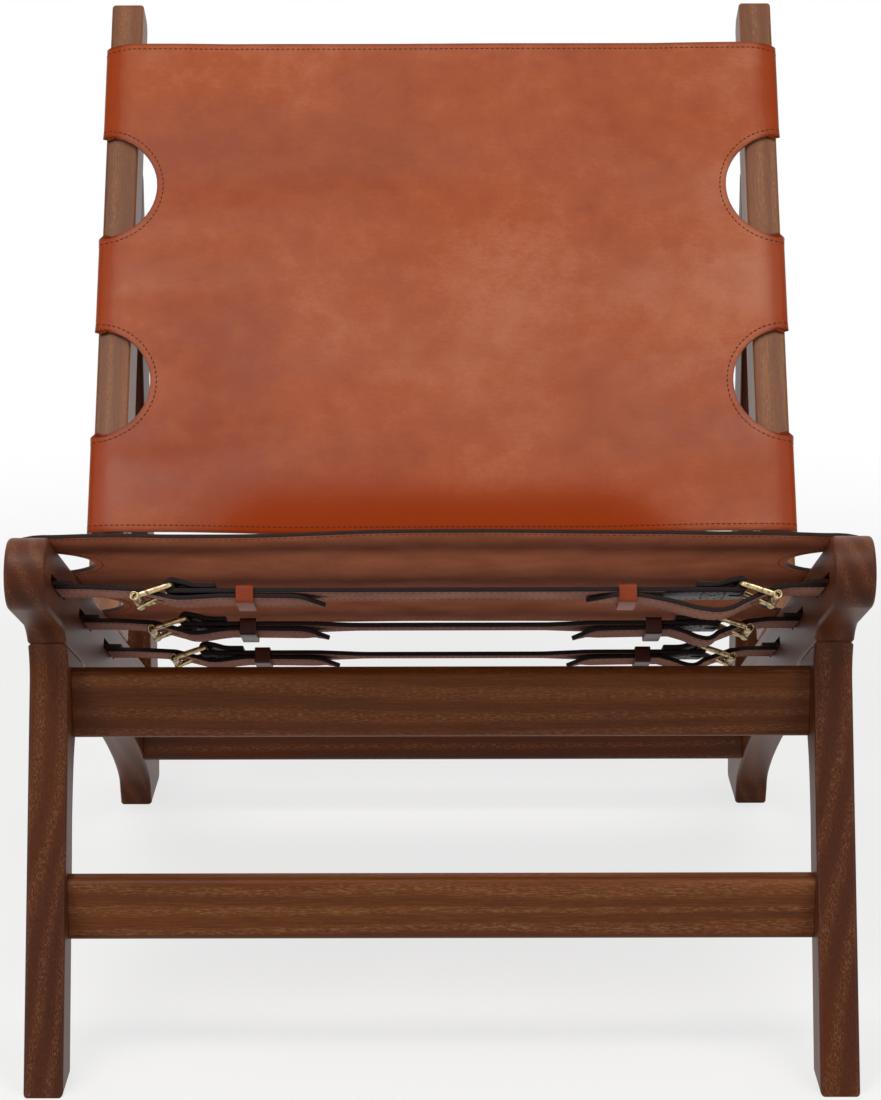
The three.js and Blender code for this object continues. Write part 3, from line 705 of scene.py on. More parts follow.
def new_object(name: str, mesh: bpy.types.Mesh,
               place: Matrix = Matrix.Identity(4)) -> bpy.types.Object:
    """Put a mesh in the scene.

    Args:
        name: The piece's name.
        mesh: Its mesh.
        place: Where it stands.

    Returns:
        The new object.
    """
    piece = bpy.data.objects.new(name, mesh)
    bpy.context.scene.collection.objects.link(piece)
    piece.matrix_world = place
    return piece


def smooth_shaded(mesh: bpy.types.Mesh, sharp_deg: float = 38.0) -> None:
    """Shade a mesh smooth, with its crisp edges kept.

    Args:
        mesh: The mesh to shade.
        sharp_deg: The angle from which an edge stays crisp.
    """
    mesh.polygons.foreach_set("use_smooth", [True] * len(mesh.polygons))
    mesh.set_sharp_from_angle(angle=math.radians(sharp_deg))
    mesh.update()


def settled(piece: bpy.types.Object) -> None:
    """Apply a piece's modifiers to its mesh."""
    bpy.context.view_layer.update()
    graph = bpy.context.evaluated_depsgraph_get()
    mesh = bpy.data.meshes.new_from_object(piece.evaluated_get(graph), depsgraph=graph)
    piece.modifiers.clear()
    old = piece.data
    mesh.name = old.name
    piece.data = mesh
    bpy.data.meshes.remove(old)


def thickened(piece: bpy.types.Object, thickness: float, ease: float) -> None:
    """Give a flat piece of leather its thickness, and ease its cut edges.

    Args:
        piece: The leather, with the materials of its face, its back and its edge in order.
        thickness: The leather's, in millimetres.
        ease: How wide the edges' bevel is.
    """
    solid = piece.modifiers.new("thickness", "SOLIDIFY")
    solid.thickness = thickness * MM
    solid.offset = 0
    solid.use_even_offset = True
    solid.material_offset = 1
    solid.material_offset_rim = 2
    eased = piece.modifiers.new("eased_edge", "BEVEL")
    eased.width = ease * MM
    eased.segments = 2
    eased.limit_method = "ANGLE"
    eased.angle_limit = math.radians(60)
    settled(piece)
    smooth_shaded(piece.data, 50.0)


def evenly_shaded(piece: bpy.types.Object) -> None:
    """Shade a board smooth, with flat faces that stay flat to the eye."""
    smooth_shaded(piece.data)
    even = piece.modifiers.new("even_faces", "WEIGHTED_NORMAL")
    even.keep_sharp = True


def grained(mesh: bpy.types.Mesh) -> None:
    """Keep a board's coordinates along its grain, as they now are, for its material."""
    along_grain = mesh.attributes.new("grain", "FLOAT_VECTOR", "POINT")
    along_grain.data.foreach_set("vector", [c for vertex in mesh.vertices for c in vertex.co])


def seat(piece: bpy.types.Object, body: str,
         nodes: Iterable[str] = ()) -> bpy.types.Object:
    """Give a piece its body and the nodes that it stands for.

    Args:
        piece: The piece.
        body: The body it rides on.
        nodes: The nodes it replaces.

    Returns:
        The same piece.
    """
    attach(piece, body)
    for node in nodes:
        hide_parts(node)
    LOG.info("%s on %s, %d faces", piece.name, body, len(piece.data.polygons))
    return piece


@dataclass(frozen=True)
class SideView:
    """The chair seen from its side, in millimetres from the front toe and the floor."""

    nose_setback: float = 49.0
    nose_height: float = 433.5
    slope: float = math.radians(24.7)
    recline: float = math.radians(33.7)
    post_setback: float = 462.0

    def seat_point(self, run: float, rise: float) -> Pair:
        """A point from a run down the seat rail's top edge and a rise square to it."""
        c, s = math.cos(self.slope), math.sin(self.slope)
        return self.nose_setback + run * c + rise * s, self.nose_height - run * s + rise * c

    def run_at(self, setback: float) -> float:
        """The run down the rail's top edge at a setback from the toe."""
        return (setback - self.nose_setback) / math.cos(self.slope)

    @property
    def post_foot(self) -> Pair:
        """Where the post's front edge meets the rail's top edge."""
        return self.seat_point(self.run_at(self.post_setback), 0)

    def back_point(self, run: float, rise: float) -> Pair:
        """A point from a run up the post's front edge and a rise square to it."""
        y, z = self.post_foot
        c, s = math.cos(self.recline), math.sin(self.recline)
        return y + run * s - rise * c, z + run * c + rise * s

    def seat_place(self) -> Matrix:
        """The seat hide's own axes: X across, Y down the rail, Z out of its face."""
        y, z = self.seat_point(0, 0)
        return self.at(y, z) @ Matrix.Rotation(-self.slope, 4, "X")

    def back_place(self) -> Matrix:
        """The back hide's own axes: X across, Y up the post, Z out of its face."""
        y, z = self.post_foot
        return self.at(y, z) @ Matrix.Rotation(QUARTER - self.recline, 4, "X")

    @staticmethod
    def at(y: float, z: float) -> Matrix:
        """A move to a side-view point, in the frame's metres."""
        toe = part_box("front_leg_left")[0].y
        return Matrix.Translation((0, toe + y * MM, z * MM))


# ---- Timber


@dataclass
class TimberFrame:
    """Two sawn side frames and the four crossrails between them, with rounded arrises.

    A crossrail's three sizes are its setback, its height off the floor and its depth. The shares
    are the sawn curves' places between their ends.
    """

    view: SideView
    finishes: Finishes
    frame_width: float = 650.0
    board_thickness: float = 31.0
    arris: float = 3.2
    fit_gap: float = 0.3
    nose_depth: float = 53.0
    rail_depth: float = 63.0
    neck_run: float = 74.0
    neck_radius: float = 43.0
    sweep_run: float = 236.0
    rear_setback: float = 778.0
    rear_foot_length: float = 83.0
    rear_foot_tuck: float = 15.0
    rear_foot_rounding: float = 9.0
    sweep_shares: tuple[Pair, ...] = ((0.419, 0.355), (0.673, 0.567), (0.86, 0.746),
                                      (0.968, 0.878), (0.991, 0.957))
    nose_crown: float = 2.2
    nose_steps: int = 40
    leg_lean: float = math.radians(8.8)
    leg_foot_depth: float = 47.0
    leg_back_setback: float = 104.0
    leg_flare_height: float = 160.0
    leg_head_run: float = 210.0
    flare_shares: tuple[Pair, ...] = ((0.13, 0.31), (0.4, 0.67))
    post_length: float = 652.0
    post_foot_depth: float = 68.0
    post_head_depth: float = 44.0
    post_head_rounding: float = 16.0
    post_brow_rounding: float = 6.0
    strut_foot_depth: float = 66.0
    strut_head_depth: float = 54.0
    crossrail_rounding: float = 6.0
    crossrail_thickness: float = 20.0
    crossrails: dict[str, tuple[float, float, float]] = field(default_factory=lambda: {
        "front_upper_rail": (133.0, 249.0, 55.5),
        "front_lower_rail": (66.0, 103.5, 51.0),
        "rear_stretcher": (623.0, 64.5, 52.0),
        "back_rail": (741.0, 495.0, 50.0),
    })
    slot_length: float = 80.0
    slot_height: float = 9.0
    cutter_overshoot: float = 4.0

    @property
    def inner_half(self) -> float:
        """From the middle of the chair to a side frame's inner face."""
        return self.frame_width / 2 - self.board_thickness

    @property
    def neck(self) -> Pair:
        """The centre of the curve under the nose, which the leg's front continues."""
        return self.view.seat_point(self.neck_run, -self.nose_depth - self.neck_radius)

    def neck_turn(self, drop: float) -> float:
        """The angle on the neck's curve at a drop below the rail's top edge."""
        return math.asin((self.nose_depth + self.neck_radius - drop) / self.neck_radius)

    @staticmethod
    def sawn(start: Pair, shares: Iterable[Pair], end: Pair) -> list[Pair]:
        """A sawn curve between two points, through shares of the way in each direction."""
        return spline([start, *((start[0] + a * (end[0] - start[0]), start[1] + b * (end[1] - start[1]))
                                for a, b in shares), end], 7)

    def rail_outline(self) -> list[Pair]:
        """The seat rail, from its rear end round the nose to the foot."""
        v = self.view
        radius = self.nose_depth / 2
        upright = QUARTER - v.slope
        start = v.seat_point(self.sweep_run, -self.rail_depth)
        back = self.rear_setback - self.rear_foot_tuck
        r = self.rear_foot_rounding
        hub = v.seat_point(0, -radius)
        nose = []
        for i in range(self.nose_steps + 1):
            turn = 2 * QUARTER * i / self.nose_steps
            reach = radius + self.nose_crown * max(0.0, math.cos(turn)) ** 2
            nose.append((hub[0] + reach * math.cos(upright + turn),
                         hub[1] + reach * math.sin(upright + turn)))
        step = [v.seat_point(self.nose_crown * a, self.nose_crown * b)
                for a, b in ((1.0, 0.0), (0.75, 0.2), (0.5, 0.7), (0.25, 0.93))]
        return [
            v.seat_point(v.run_at(self.rear_setback), 0),
            *step,
            *nose,
            *arc(self.neck, self.neck_radius, upright, self.neck_turn(self.rail_depth) - v.slope, 14),
            *self.sawn(start, self.sweep_shares, (back - self.rear_foot_length, 0.0)),
            *arc((back - r, r), r, -QUARTER, 0, 8),
        ]

    def leg_outline(self) -> list[Pair]:
        """The front leg, from its toe up the flare to the rail."""
        slope = self.view.slope
        drop = self.rail_depth + self.fit_gap
        start = (self.leg_back_setback, self.leg_flare_height)
        return [
            (0.0, 0.0),
            (self.leg_foot_depth, 0.0),
            *self.sawn(start, self.flare_shares, self.view.seat_point(self.leg_head_run, -drop)),
            *arc(self.neck, self.neck_radius, self.neck_turn(drop) - slope, -slope, 10),
        ]

    def post_rear(self) -> tuple[Pair, Pair]:
        """Two points on the post's rear edge."""
        return (self.view.back_point(0, -self.post_foot_depth),
                self.view.back_point(self.post_length, -self.post_head_depth))

    def post_outline(self) -> list[Pair]:
        """The back post, from its foot to the rounded head."""
        v = self.view
        low, high = self.post_rear()
        foot = (v.seat_point(0, self.fit_gap), v.seat_point(100, self.fit_gap))
        turn = QUARTER - v.recline
        brow, head = self.post_brow_rounding, self.post_head_rounding
        return [
            crossing(*foot, v.post_foot, v.back_point(self.post_length, 0)),
            crossing(*foot, low, high),
            *arc(v.back_point(self.post_length - head, head - self.post_head_depth), head,
                 turn - QUARTER, turn, 14),
            *arc(v.back_point(self.post_length - brow, -brow), brow, turn, turn + QUARTER, 8),
        ]

    def strut_outline(self) -> list[Pair]:
        """The upright strut between the rail's rear and the post."""
        v = self.view
        low, high = self.post_rear()
        span = math.dist(low, high)
        away = ((high[1] - low[1]) / span * self.fit_gap, -(high[0] - low[0]) / span * self.fit_gap)
        post = tuple((p[0] + away[0], p[1] + away[1]) for p in (low, high))
        foot = (v.seat_point(0, self.fit_gap), v.seat_point(100, self.fit_gap))
        rear = ((self.rear_setback, 0.0), (self.rear_setback, 100.0))
        front_foot = v.seat_point(v.run_at(self.rear_setback - self.strut_foot_depth), self.fit_gap)
        front_setback = self.rear_setback - self.strut_head_depth
        front_head = crossing((front_setback, 0.0), (front_setback, 100.0), low, high)
        return [front_foot, crossing(*foot, *rear), crossing(*post, *rear),
                crossing(*post, front_foot, front_head)]

    def slot_cutter(self, place: Matrix, run: float, drop: float) -> bpy.types.Object:
        """A slug with the shape of the slot that a tongue passes through.

        Args:
            place: The hide's axes.
            run: The slot's middle along the timber.
            drop: How far it lies below the timber's edge.

        Returns:
            The slug, on both sides of the chair.
        """
        radius = self.slot_height / 2
        half = self.slot_length / 2 - radius
        ring = [*arc((run + half, -drop), radius, -QUARTER, QUARTER, 8),
                *arc((run - half, -drop), radius, QUARTER, 3 * QUARTER, 8)]
        near = self.inner_half - self.cutter_overshoot
        far = self.frame_width / 2 + self.cutter_overshoot
        work = bmesh.new()
        for ends in ((-far, -near), (near, far)):
            skin(work, [[work.verts.new(Vector((x, y, z)) * MM) for y, z in ring] for x in ends])
        return new_object("slot_cutter", finished(work, "slot_cutter"), place)

    def board(self, name: str, outline: Sequence[Pair], grain: float, side: Side,
              cutters: Sequence[bpy.types.Object] = ()) -> bpy.types.Object:
        """One board of a side frame.

        Args:
            name: The node that it stands for.
            outline: Its side view.
            grain: The angle of its grain above the Y axis.
            side: Which side frame it is in.
            cutters: The slots to cut.

        Returns:
            The dressed board.
        """
        middle = tuple(sum(p[k] for p in outline) / len(outline) for k in (0, 1))
        c, s = math.cos(grain), math.sin(grain)
        curve = bpy.data.curves.new(name, "CURVE")
        curve.dimensions = "2D"
        curve.fill_mode = "BOTH"
        curve.extrude = (self.board_thickness / 2 - self.arris) * MM
        curve.bevel_depth = self.arris * MM
        curve.bevel_resolution = 3
        curve.offset = -self.arris * MM
        line = curve.splines.new("POLY")
        line.points.add(len(outline) - 1)
        for point, (y, z) in zip(line.points, outline):
            dy, dz = y - middle[0], z - middle[1]
            point.co = ((dy * c + dz * s) * MM, (dz * c - dy * s) * MM, 0, 1)
        line.use_cyclic_u = True
        shape = bpy.data.objects.new(name, curve)
        mesh = bpy.data.meshes.new_from_object(shape)
        bpy.data.objects.remove(shape)
        work = bmesh.new()
        work.from_mesh(mesh)
        bmesh.ops.remove_doubles(work, verts=work.verts, dist=0.01 * MM)
        bmesh.ops.recalc_face_normals(work, faces=work.faces)
        work.to_mesh(mesh)
        work.free()
        turn = Matrix(((0, 0, 1, 0), (c, -s, 0, 0), (s, c, 0, 0), (0, 0, 0, 1)))
        x = side.value * (self.frame_width - self.board_thickness) / 2
        place = SideView.at(*middle) @ Matrix.Translation((x * MM, 0, 0))
        piece = new_object(f"{name}_board", mesh, place @ turn)
        for cutter in cutters:
            cut = piece.modifiers.new("slot", "BOOLEAN")
            cut.object = cutter
            cut.solver = "EXACT"
        if cutters:
            settled(piece)
        grained(piece.data)
        piece.data.transform(turn)
        piece.matrix_world = place
        piece.data.materials.clear()
        piece.data.materials.append(self.finishes.wood(name))
        evenly_shaded(piece)
        return seat(piece, FRAME_BODY, [name])

    def crossrail(self, name: str) -> bpy.types.Object:
        """One crossrail, with its four long edges rounded.

        Args:
            name: The node that it stands for.

        Returns:
            The dressed rail.
        """
        setback, height, depth = self.crossrails[name]
        half_y, half_z, r = self.crossrail_thickness / 2, depth / 2, self.crossrail_rounding
        ring = rounded_ring((r - half_y, r - half_z), (half_y - r, half_z - r), r, 8)
        reach = self.inner_half - self.fit_gap
        work = bmesh.new()
        skin(work, [[work.verts.new(Vector((reach * (i / 12 - 1), y, z)) * MM) for y, z in ring]
                    for i in range(25)])
        bmesh.ops.recalc_face_normals(work, faces=work.faces)
        mesh = finished(work, name, [self.finishes.wood(name)])
        grained(mesh)
        piece = new_object(f"{name}_board", mesh, SideView.at(setback + half_y, height + half_z))
        evenly_shaded(piece)
        return seat(piece, FRAME_BODY, [name])

    def build(self, seat_runs: Sequence[float], back_runs: Sequence[float], seat_drop: float,
              back_drop: float) -> None:
        """Build both side frames and the crossrails.

        Args:
            seat_runs: The seat slots' middles along the rail.
            back_runs: The back slots' middles along the post.
            seat_drop: The seat slots' fall below the rail's edge.
            back_drop: The back slots' fall behind the post's edge.
        """
        v = self.view
        seat_cutters = [self.slot_cutter(v.seat_place(), run, seat_drop) for run in seat_runs]
        back_cutters = [self.slot_cutter(v.back_place(), run, back_drop) for run in back_runs]
        for side in Side:
            self.board(f"seat_rail_{side.word}", self.rail_outline(), -v.slope, side, seat_cutters)
            self.board(f"front_leg_{side.word}", self.leg_outline(), QUARTER - self.leg_lean, side)
            self.board(f"back_post_{side.word}", self.post_outline(), QUARTER - v.recline, side,
                       back_cutters)
            self.board(f"rear_strut_{side.word}", self.strut_outline(), QUARTER, side)
        for cutter in (*seat_cutters, *back_cutters):
            bpy.data.objects.remove(cutter)
        for name in self.crossrails:
            self.crossrail(name)


# ---- Stitching


@dataclass
class Stitching:
    """Rows of short thread bars, pressed a little into the leather."""

    pitch: float = 5.0
    length: float = 3.7
    radius: float = 0.55
    flatness: float = 0.55
    sides: int = 6
    slant: float = 0.07
    heading_share: float = 0.3
    work: bmesh.types.BMesh = field(default_factory=bmesh.new)

    def bar(self, middle: Vector, heading: Vector, normal: Vector) -> None:
        """One stitch.

        Args:
            middle: Its middle, in millimetres.
            heading: The way it lies.
            normal: Out of the leather.
        """
        across = heading.cross(normal).normalized()
        stations = ((-0.5, 0.35, -0.4), (-0.36, 0.85, -0.1), (0.0, 1.0, 0.0),
                    (0.36, 0.85, -0.1), (0.5, 0.35, -0.4))
        rings = []
        for ahead, size, lift in stations:
            hub = middle + heading * (ahead * self.length) + normal * (lift * self.radius)
            rings.append([
                self.work.verts.new((hub + (across * math.cos(a) + normal * (self.flatness * math.sin(a)))
                                     * size * self.radius) * MM)
                for a in (k * 2 * math.pi / self.sides for k in range(self.sides))
            ])
        skin(self.work, rings)

    def row(self, surface: Callable[[float], tuple[Vector, Vector]], length: float) -> None:
        """One row of stitches.

        Args:
            surface: Turns a distance along the row into a point and the leather's normal.
            length: The row's length.
        """
        count = max(1, round(length / self.pitch))
        step = length / count
        for i in range(count):
            at = (i + 0.5) * step
            middle, normal = surface(at)
            before, _ = surface(at - self.heading_share * step)
            after, _ = surface(at + self.heading_share * step)
            heading = (after - before).normalized()
            skew = heading.cross(normal) * self.slant
            self.bar(middle, (heading + skew).normalized(), normal)

    def piece(self, name: str, material: bpy.types.Material, place: Matrix) -> bpy.types.Object:
        """Turn the rows into a piece.

        Args:
            name: The piece's name.
            material: The thread.
            place: The leather's axes.

        Returns:
            The new piece.
        """
        bmesh.ops.recalc_face_normals(self.work, faces=self.work.faces)
        mesh = finished(self.work, name, [material])
        smooth_shaded(mesh, 75.0)
        return new_object(name, mesh, place)


# ---- Hides


@dataclass
class Hide:
    """One hide: a stretched sheet with round cutouts, folded down at both sides into its slots.

    A place on it is an unfolded distance across, from the middle, and a run along the timber. The
    front rise and dip are waves of the edge between the rails, the band is the free lower edge of
    the back, and the falls are how far the outer corners draw in towards the slots.
    """

    name: str
    place: Matrix
    timber: TimberFrame
    finishes: Finishes
    start: float
    length: float
    slot_shares: tuple[float, float, float]
    cutout_shares: tuple[float, float]
    slot_drop: float
    crown: float
    edge: bpy.types.Material
    corner_falls: Pair
    front_rise: float = 0.0
    front_dip: float = 0.0
    front_run: float = 50.0
    dip_place: float = -150.0
    dip_width: float = 72.0
    band_curl: float = 0.0
    band_length: float = 65.0
    band_middle: float = 140.0
    band_fade: float = 130.0
    fold_lift: float = 1.8
    fold_lift_start: float = 6.0
    fold_lift_run: float = 90.0
    cutout_radius: float = 54.5
    thickness: float = 3.0
    tab_foot: float = 52.0
    tongue_width: float = 39.0
    tongue_reach: float = 13.0
    tongue_run: float = 20.0
    fall_start: float = 8.0
    fall_run: float = 24.0
    fall_power: float = 1.6
    seam_inset: float = 5.8
    wave: float = 0.7
    wave_mm: float = 150.0
    ripple_share: float = 0.25
    ripple_mm: float = 60.0
    still_margin: float = 8.0
    edge_ease: float = 0.7
    bent_inset: float = 6.0
    bent_run: float = 20.0
    flat_cells: int = 44
    bend_cells: int = 5
    tongue_cells: int = 8
    tab_cells: int = 12
    cutout_cells: int = 26
    seam_radius: float = 0.62
    seed: float = 0.0
    area: float = field(default=0.0, init=False)

    @property
    def slots(self) -> list[float]:
        """The slots' middles along the timber."""
        return [self.start + share * self.length for share in self.slot_shares]

    @property
    def cutouts(self) -> list[float]:
        """The cutouts' middles along the timber."""
        return [self.start + share * self.length for share in self.cutout_shares]

    @property
    def fold(self) -> float:
        """The bends' radius at the middle of the leather."""
        return self.timber.slot_height / 2 - self.timber.fit_gap

    @property
    def face(self) -> float:
        """How far the middle of the leather lies above the timber."""
        return self.timber.fit_gap + self.thickness / 2

    @property
    def fold_x(self) -> float:
        """The folded leather's place across the chair."""
        return self.timber.frame_width / 2 + self.timber.fit_gap + self.thickness / 2

    @property
    def marks(self) -> list[float]:
        """Unfolded distances of the fold's start and end, the lower bend's start and end, and the tip."""
        start = self.fold_x - self.fold
        bend = QUARTER * self.fold
        fall = self.face - self.fold + self.slot_drop - self.fold
        tongue = start - (self.timber.inner_half - self.tongue_reach)
        places = [start]
        for step in (bend, fall, bend, tongue):
            places.append(places[-1] + step)
        return places

    def across(self, u: float) -> tuple[float, float, float, float]:
        """The section's point and normal at an unfolded distance.

        Args:
            u: The distance from the middle, negative on the left.

        Returns:
            X and Z of the leather's middle, and X and Z of its normal.
        """
        side = -1 if u < 0 else 1
        u = abs(u)
        top, fold, low, bend, _ = self.marks
        r = self.fold
        if u <= top:
            share = min(1.0, u / self.timber.inner_half)
            slope = 2 * self.crown * u / self.timber.inner_half ** 2 if share < 1 else 0.0
            size = math.hypot(1, slope)
            return side * u, self.face + self.crown * (1 - share * share), side * slope / size, 1 / size
        if u <= fold:
            a = (u - top) / r
            return (side * (self.fold_x - r + r * math.sin(a)), self.face - r + r * math.cos(a),
                    side * math.sin(a), math.cos(a))
        if u <= low:
            return side * self.fold_x, self.face - r - (u - fold), side, 0.0
        if u <= bend:
            a = (u - low) / r
            return (side * (self.fold_x - r + r * math.cos(a)), -self.slot_drop + r - r * math.sin(a),
                    side * math.cos(a), -math.sin(a))
        return side * (self.fold_x - r - (u - bend)), -self.slot_drop, 0.0, -1.0

    def point(self, u: float, v: float, lift: float = 0.0) -> tuple[Vector, Vector]:
        """A point of the leather's middle and its normal.

        Args:
            u: The unfolded distance across.
            v: The run along the timber.
            lift: How far out of the middle.

        Returns:
            The point and the normal, in the hide's own axes.
        """
        x, z, nx, nz = self.across(u)
        inner, top = self.timber.inner_half, self.marks[0]
        free = max(0.0, 1 - (abs(u) / (inner - self.still_margin)) ** 4) if abs(u) < inner else 0
        rumple = noise.noise(Vector((u / self.wave_mm, v / self.wave_mm, self.seed)))
        ripple = noise.noise(Vector((u / self.ripple_mm + 9, v / self.ripple_mm, self.seed)))
        z += self.wave * free * (rumple + self.ripple_share * ripple)
        near = inner + self.fold_lift_start
        if abs(u) < top:
            away = (abs(u) - near) / ((top - near) if abs(u) > near else self.fold_lift_run)
            z += self.fold_lift * max(0.0, 1 - away * away)
        edge = self.front_rise - self.front_dip * math.exp(-((u - self.dip_place) / self.dip_width) ** 2)
        z += edge * free * math.exp(-((v - self.start) / self.front_run) ** 2)
        z -= self.band_curl * self.band_share(u, v) ** 2
        normal = Vector((nx, 0, nz))
        return Vector((x, v, z)) + normal * lift, normal

    def band_share(self, u: float, v: float) -> float:
        """How much a place belongs to the lower edge's free middle, from 0 to 1."""
        side = min(1.0, max(0.0, (abs(u) - self.band_middle) / self.band_fade))
        return max(0.0, 1 - (v - self.start) / self.band_length) * (1 - side * side * (3 - 2 * side))

    def edge_u(self, v: float, centre: float, radius: float) -> float:
        """The unfolded distance of a cutout's edge at a run."""
        outer = self.fold_x + self.thickness / 2
        x = outer - math.sqrt(max(0.0, radius ** 2 - (v - centre) ** 2))
        top, fold = self.marks[:2]
        if x <= top:
            return x
        return min(fold, top + self.fold * math.asin(min(1.0, (x - top) / self.fold)))

    def tab_edges(self, tab: int, u: float) -> Pair:
        """A tab's two edges at an unfolded distance beyond the fold.

        Args:
            tab: Which tab, from zero.
            u: The distance.

        Returns:
            The lower and the upper run.
        """
        first, second = self.cutouts
        r = self.cutout_radius
        low, high = ((self.start, first - r), (first + r, second - r),
                     (second + r, self.start + self.length))[tab]
        _, fold, foot, _, _ = self.marks
        slot = self.slots[tab]
        if u <= foot:
            beyond = (u - self.timber.inner_half - self.fall_start) / self.fall_run
            eased = max(0.0, min(1.0, beyond)) ** self.fall_power
            low += eased * self.corner_falls[0] if tab == 0 else 0.0
            high -= eased * self.corner_falls[1] if tab == 2 else 0.0
            t = max(0.0, (u - fold) / (foot - fold))
            half = self.tab_foot / 2
            return low + t * (slot - half - low), high + t * (slot + half - high)
        t = min(1.0, max(0.0, (u - foot) / self.tongue_run))
        half = (self.tab_foot + t * (self.tongue_width - self.tab_foot)) / 2
        return slot - half, slot + half

    def columns(self) -> list[tuple[str, int, float]]:
        """The grid's columns along the hide: what each crosses, which one, and where in it."""
        result = []
        for tab in range(len(self.slot_shares)):
            result += [("tab", tab, i / self.tab_cells) for i in range(self.tab_cells + 1)]
            if tab < len(self.cutout_shares):
                result += [("cut", tab, i / self.cutout_cells) for i in range(1, self.cutout_cells)]
        return result

    def sheet(self) -> bpy.types.Object:
        """The leather itself."""
        top, fold, low, bend, tip = self.marks
        shares = [i / self.flat_cells * top / fold for i in range(self.flat_cells + 1)]
        shares += [(top + (fold - top) * i / self.bend_cells) / fold
                   for i in range(1, self.bend_cells + 1)]
        rows = [-s for s in reversed(shares[1:])] + shares
        beyond = [a + (b - a) * i / cells for a, b, cells in (
            (fold, low, self.bend_cells), (low, bend, self.bend_cells), (bend, tip, self.tongue_cells))
                  for i in range(1, cells + 1)]
        columns = self.columns()
        work = bmesh.new()
        edge_layer = work.verts.layers.float.new("edge_mm")
        bend_layer = work.verts.layers.float.new("bend")
        grid = {}
        area = 0.0

        def vertex(key: tuple[int, int], u: float, v: float, edge: float) -> None:
            """Add one point of the grid."""
            made = work.verts.new(self.point(u, v)[0] * MM)
            made[edge_layer] = edge
            # The bend marks the folds and the back's free lower edge, where the finish is smoother and
            # painted shade deepens its colour.
            free = min(1.0, 1.5 * self.band_share(u, v))
            turned = max(0.0, 1 - abs(abs(u) - (top + fold) / 2 + self.bent_inset) / self.bent_run)
            made[bend_layer] = max(share * share * (3 - 2 * share) for share in (free, turned))
            grid[key] = made

        for j, (kind, which, share) in enumerate(columns):
            if kind == "tab":
                a, b = self.tab_edges(which, 0)
                v = a + share * (b - a)
                reach = fold
            else:
                v = self.cutouts[which] - self.cutout_radius * math.cos(share * math.pi)
                reach = self.edge_u(v, self.cutouts[which], self.cutout_radius)
            ends = min(v - self.start, self.start + self.length - v)
            for i, row in enumerate(rows):
                u = row * reach
                if kind == "tab":
                    a, b = self.tab_edges(which, abs(u))
                    v = a + share * (b - a)
                gap = min(abs(math.hypot(self.fold_x + 2 - abs(u), v - c) - self.cutout_radius)
                          for c in self.cutouts)
                vertex((i - len(shares) + 1, j), u, v, min(ends, gap))
            if kind == "tab":
                for k, u in enumerate(beyond):
                    a, b = self.tab_edges(which, u)
                    v = a + share * (b - a)
                    for side in (-1, 1):
                        vertex((side * (len(shares) + k), j), side * u, v, min(v - a, b - v))
        span = len(shares) - 1
        last = len(shares) + len(beyond) - 1
        for j in range(len(columns) - 1):
            tab = columns[j][0] == "tab" and columns[j + 1][0] == "tab"
            reach = last if tab else span
            for i in range(-reach, reach):
                face = work.faces.new((grid[i, j], grid[i + 1, j], grid[i + 1, j + 1], grid[i, j + 1]))
                area += face.calc_area()
        bmesh.ops.recalc_face_normals(work, faces=work.faces)
        if sum(f.normal.z for f in work.faces) < 0:
            bmesh.ops.reverse_faces(work, faces=work.faces)
        mesh = finished(work, self.name, (self.finishes.saddle, self.finishes.hide_back, self.edge))
        piece = new_object(f"{self.name}_hide", mesh, self.place)
        thickened(piece, self.thickness, self.edge_ease)
        seat(piece, FRAME_BODY, [self.name])
        self.area = area
        return piece

    def seams(self) -> bpy.types.Object:
        """The stitch rows along every edge of the hide."""
        work = Stitching(radius=self.seam_radius)
        lift = self.thickness / 2
        _, fold, foot, _, _ = self.marks
        inset = self.seam_inset

        def sew(path: Sequence[Pair]) -> None:
            """One row along unfolded places, seen on both faces."""
            at, length = along(path)

            def under(d: float) -> tuple[Vector, Vector]:
                """The same place on the flesh side."""
                point, normal = self.point(*at(d), -lift)
                return point, -normal

            work.row(lambda d: self.point(*at(d), lift), length)
            work.row(under, length)

        downs = [foot - (foot - fold) * i / 4 for i in range(5)]
        for tab, edge, sign in ((0, 0, 1), (2, 1, -1)):
            places = [fold * i / 60 for i in range(-60, 61)]
            top = [(u, self.tab_edges(tab, abs(u))[edge] + sign * inset) for u in places]
            left = [(-u, self.tab_edges(tab, u)[edge] + sign * inset) for u in downs[:-1]]
            sew([*left, *top, *((-a, b) for a, b in reversed(left))])
        for which, centre in enumerate(self.cutouts):
            for side in (-1, 1):
                r = self.cutout_radius + inset
                down = [(side * u, self.tab_edges(which, u)[1] - inset) for u in downs]
                up = [(side * u, self.tab_edges(which + 1, u)[0] + inset) for u in reversed(downs)]
                curve = [(side * self.edge_u(v, centre, r), v)
                         for v in (centre - r * math.cos(math.pi * i / 60) for i in range(1, 60))]
                sew([*down, *curve, *up])
        piece = work.piece(f"{self.name}_stitching", self.finishes.hide_thread, self.place)
        return seat(piece, FRAME_BODY)

    def build(self) -> None:
        sheet = self.sheet()
        seams = self.seams()
        LOG.info("%s: cut from %.0f x %.0f mm, %.3f m2", self.name, 2 * self.marks[-1], self.length,
                 self.area)


# ---- Straps and buckles


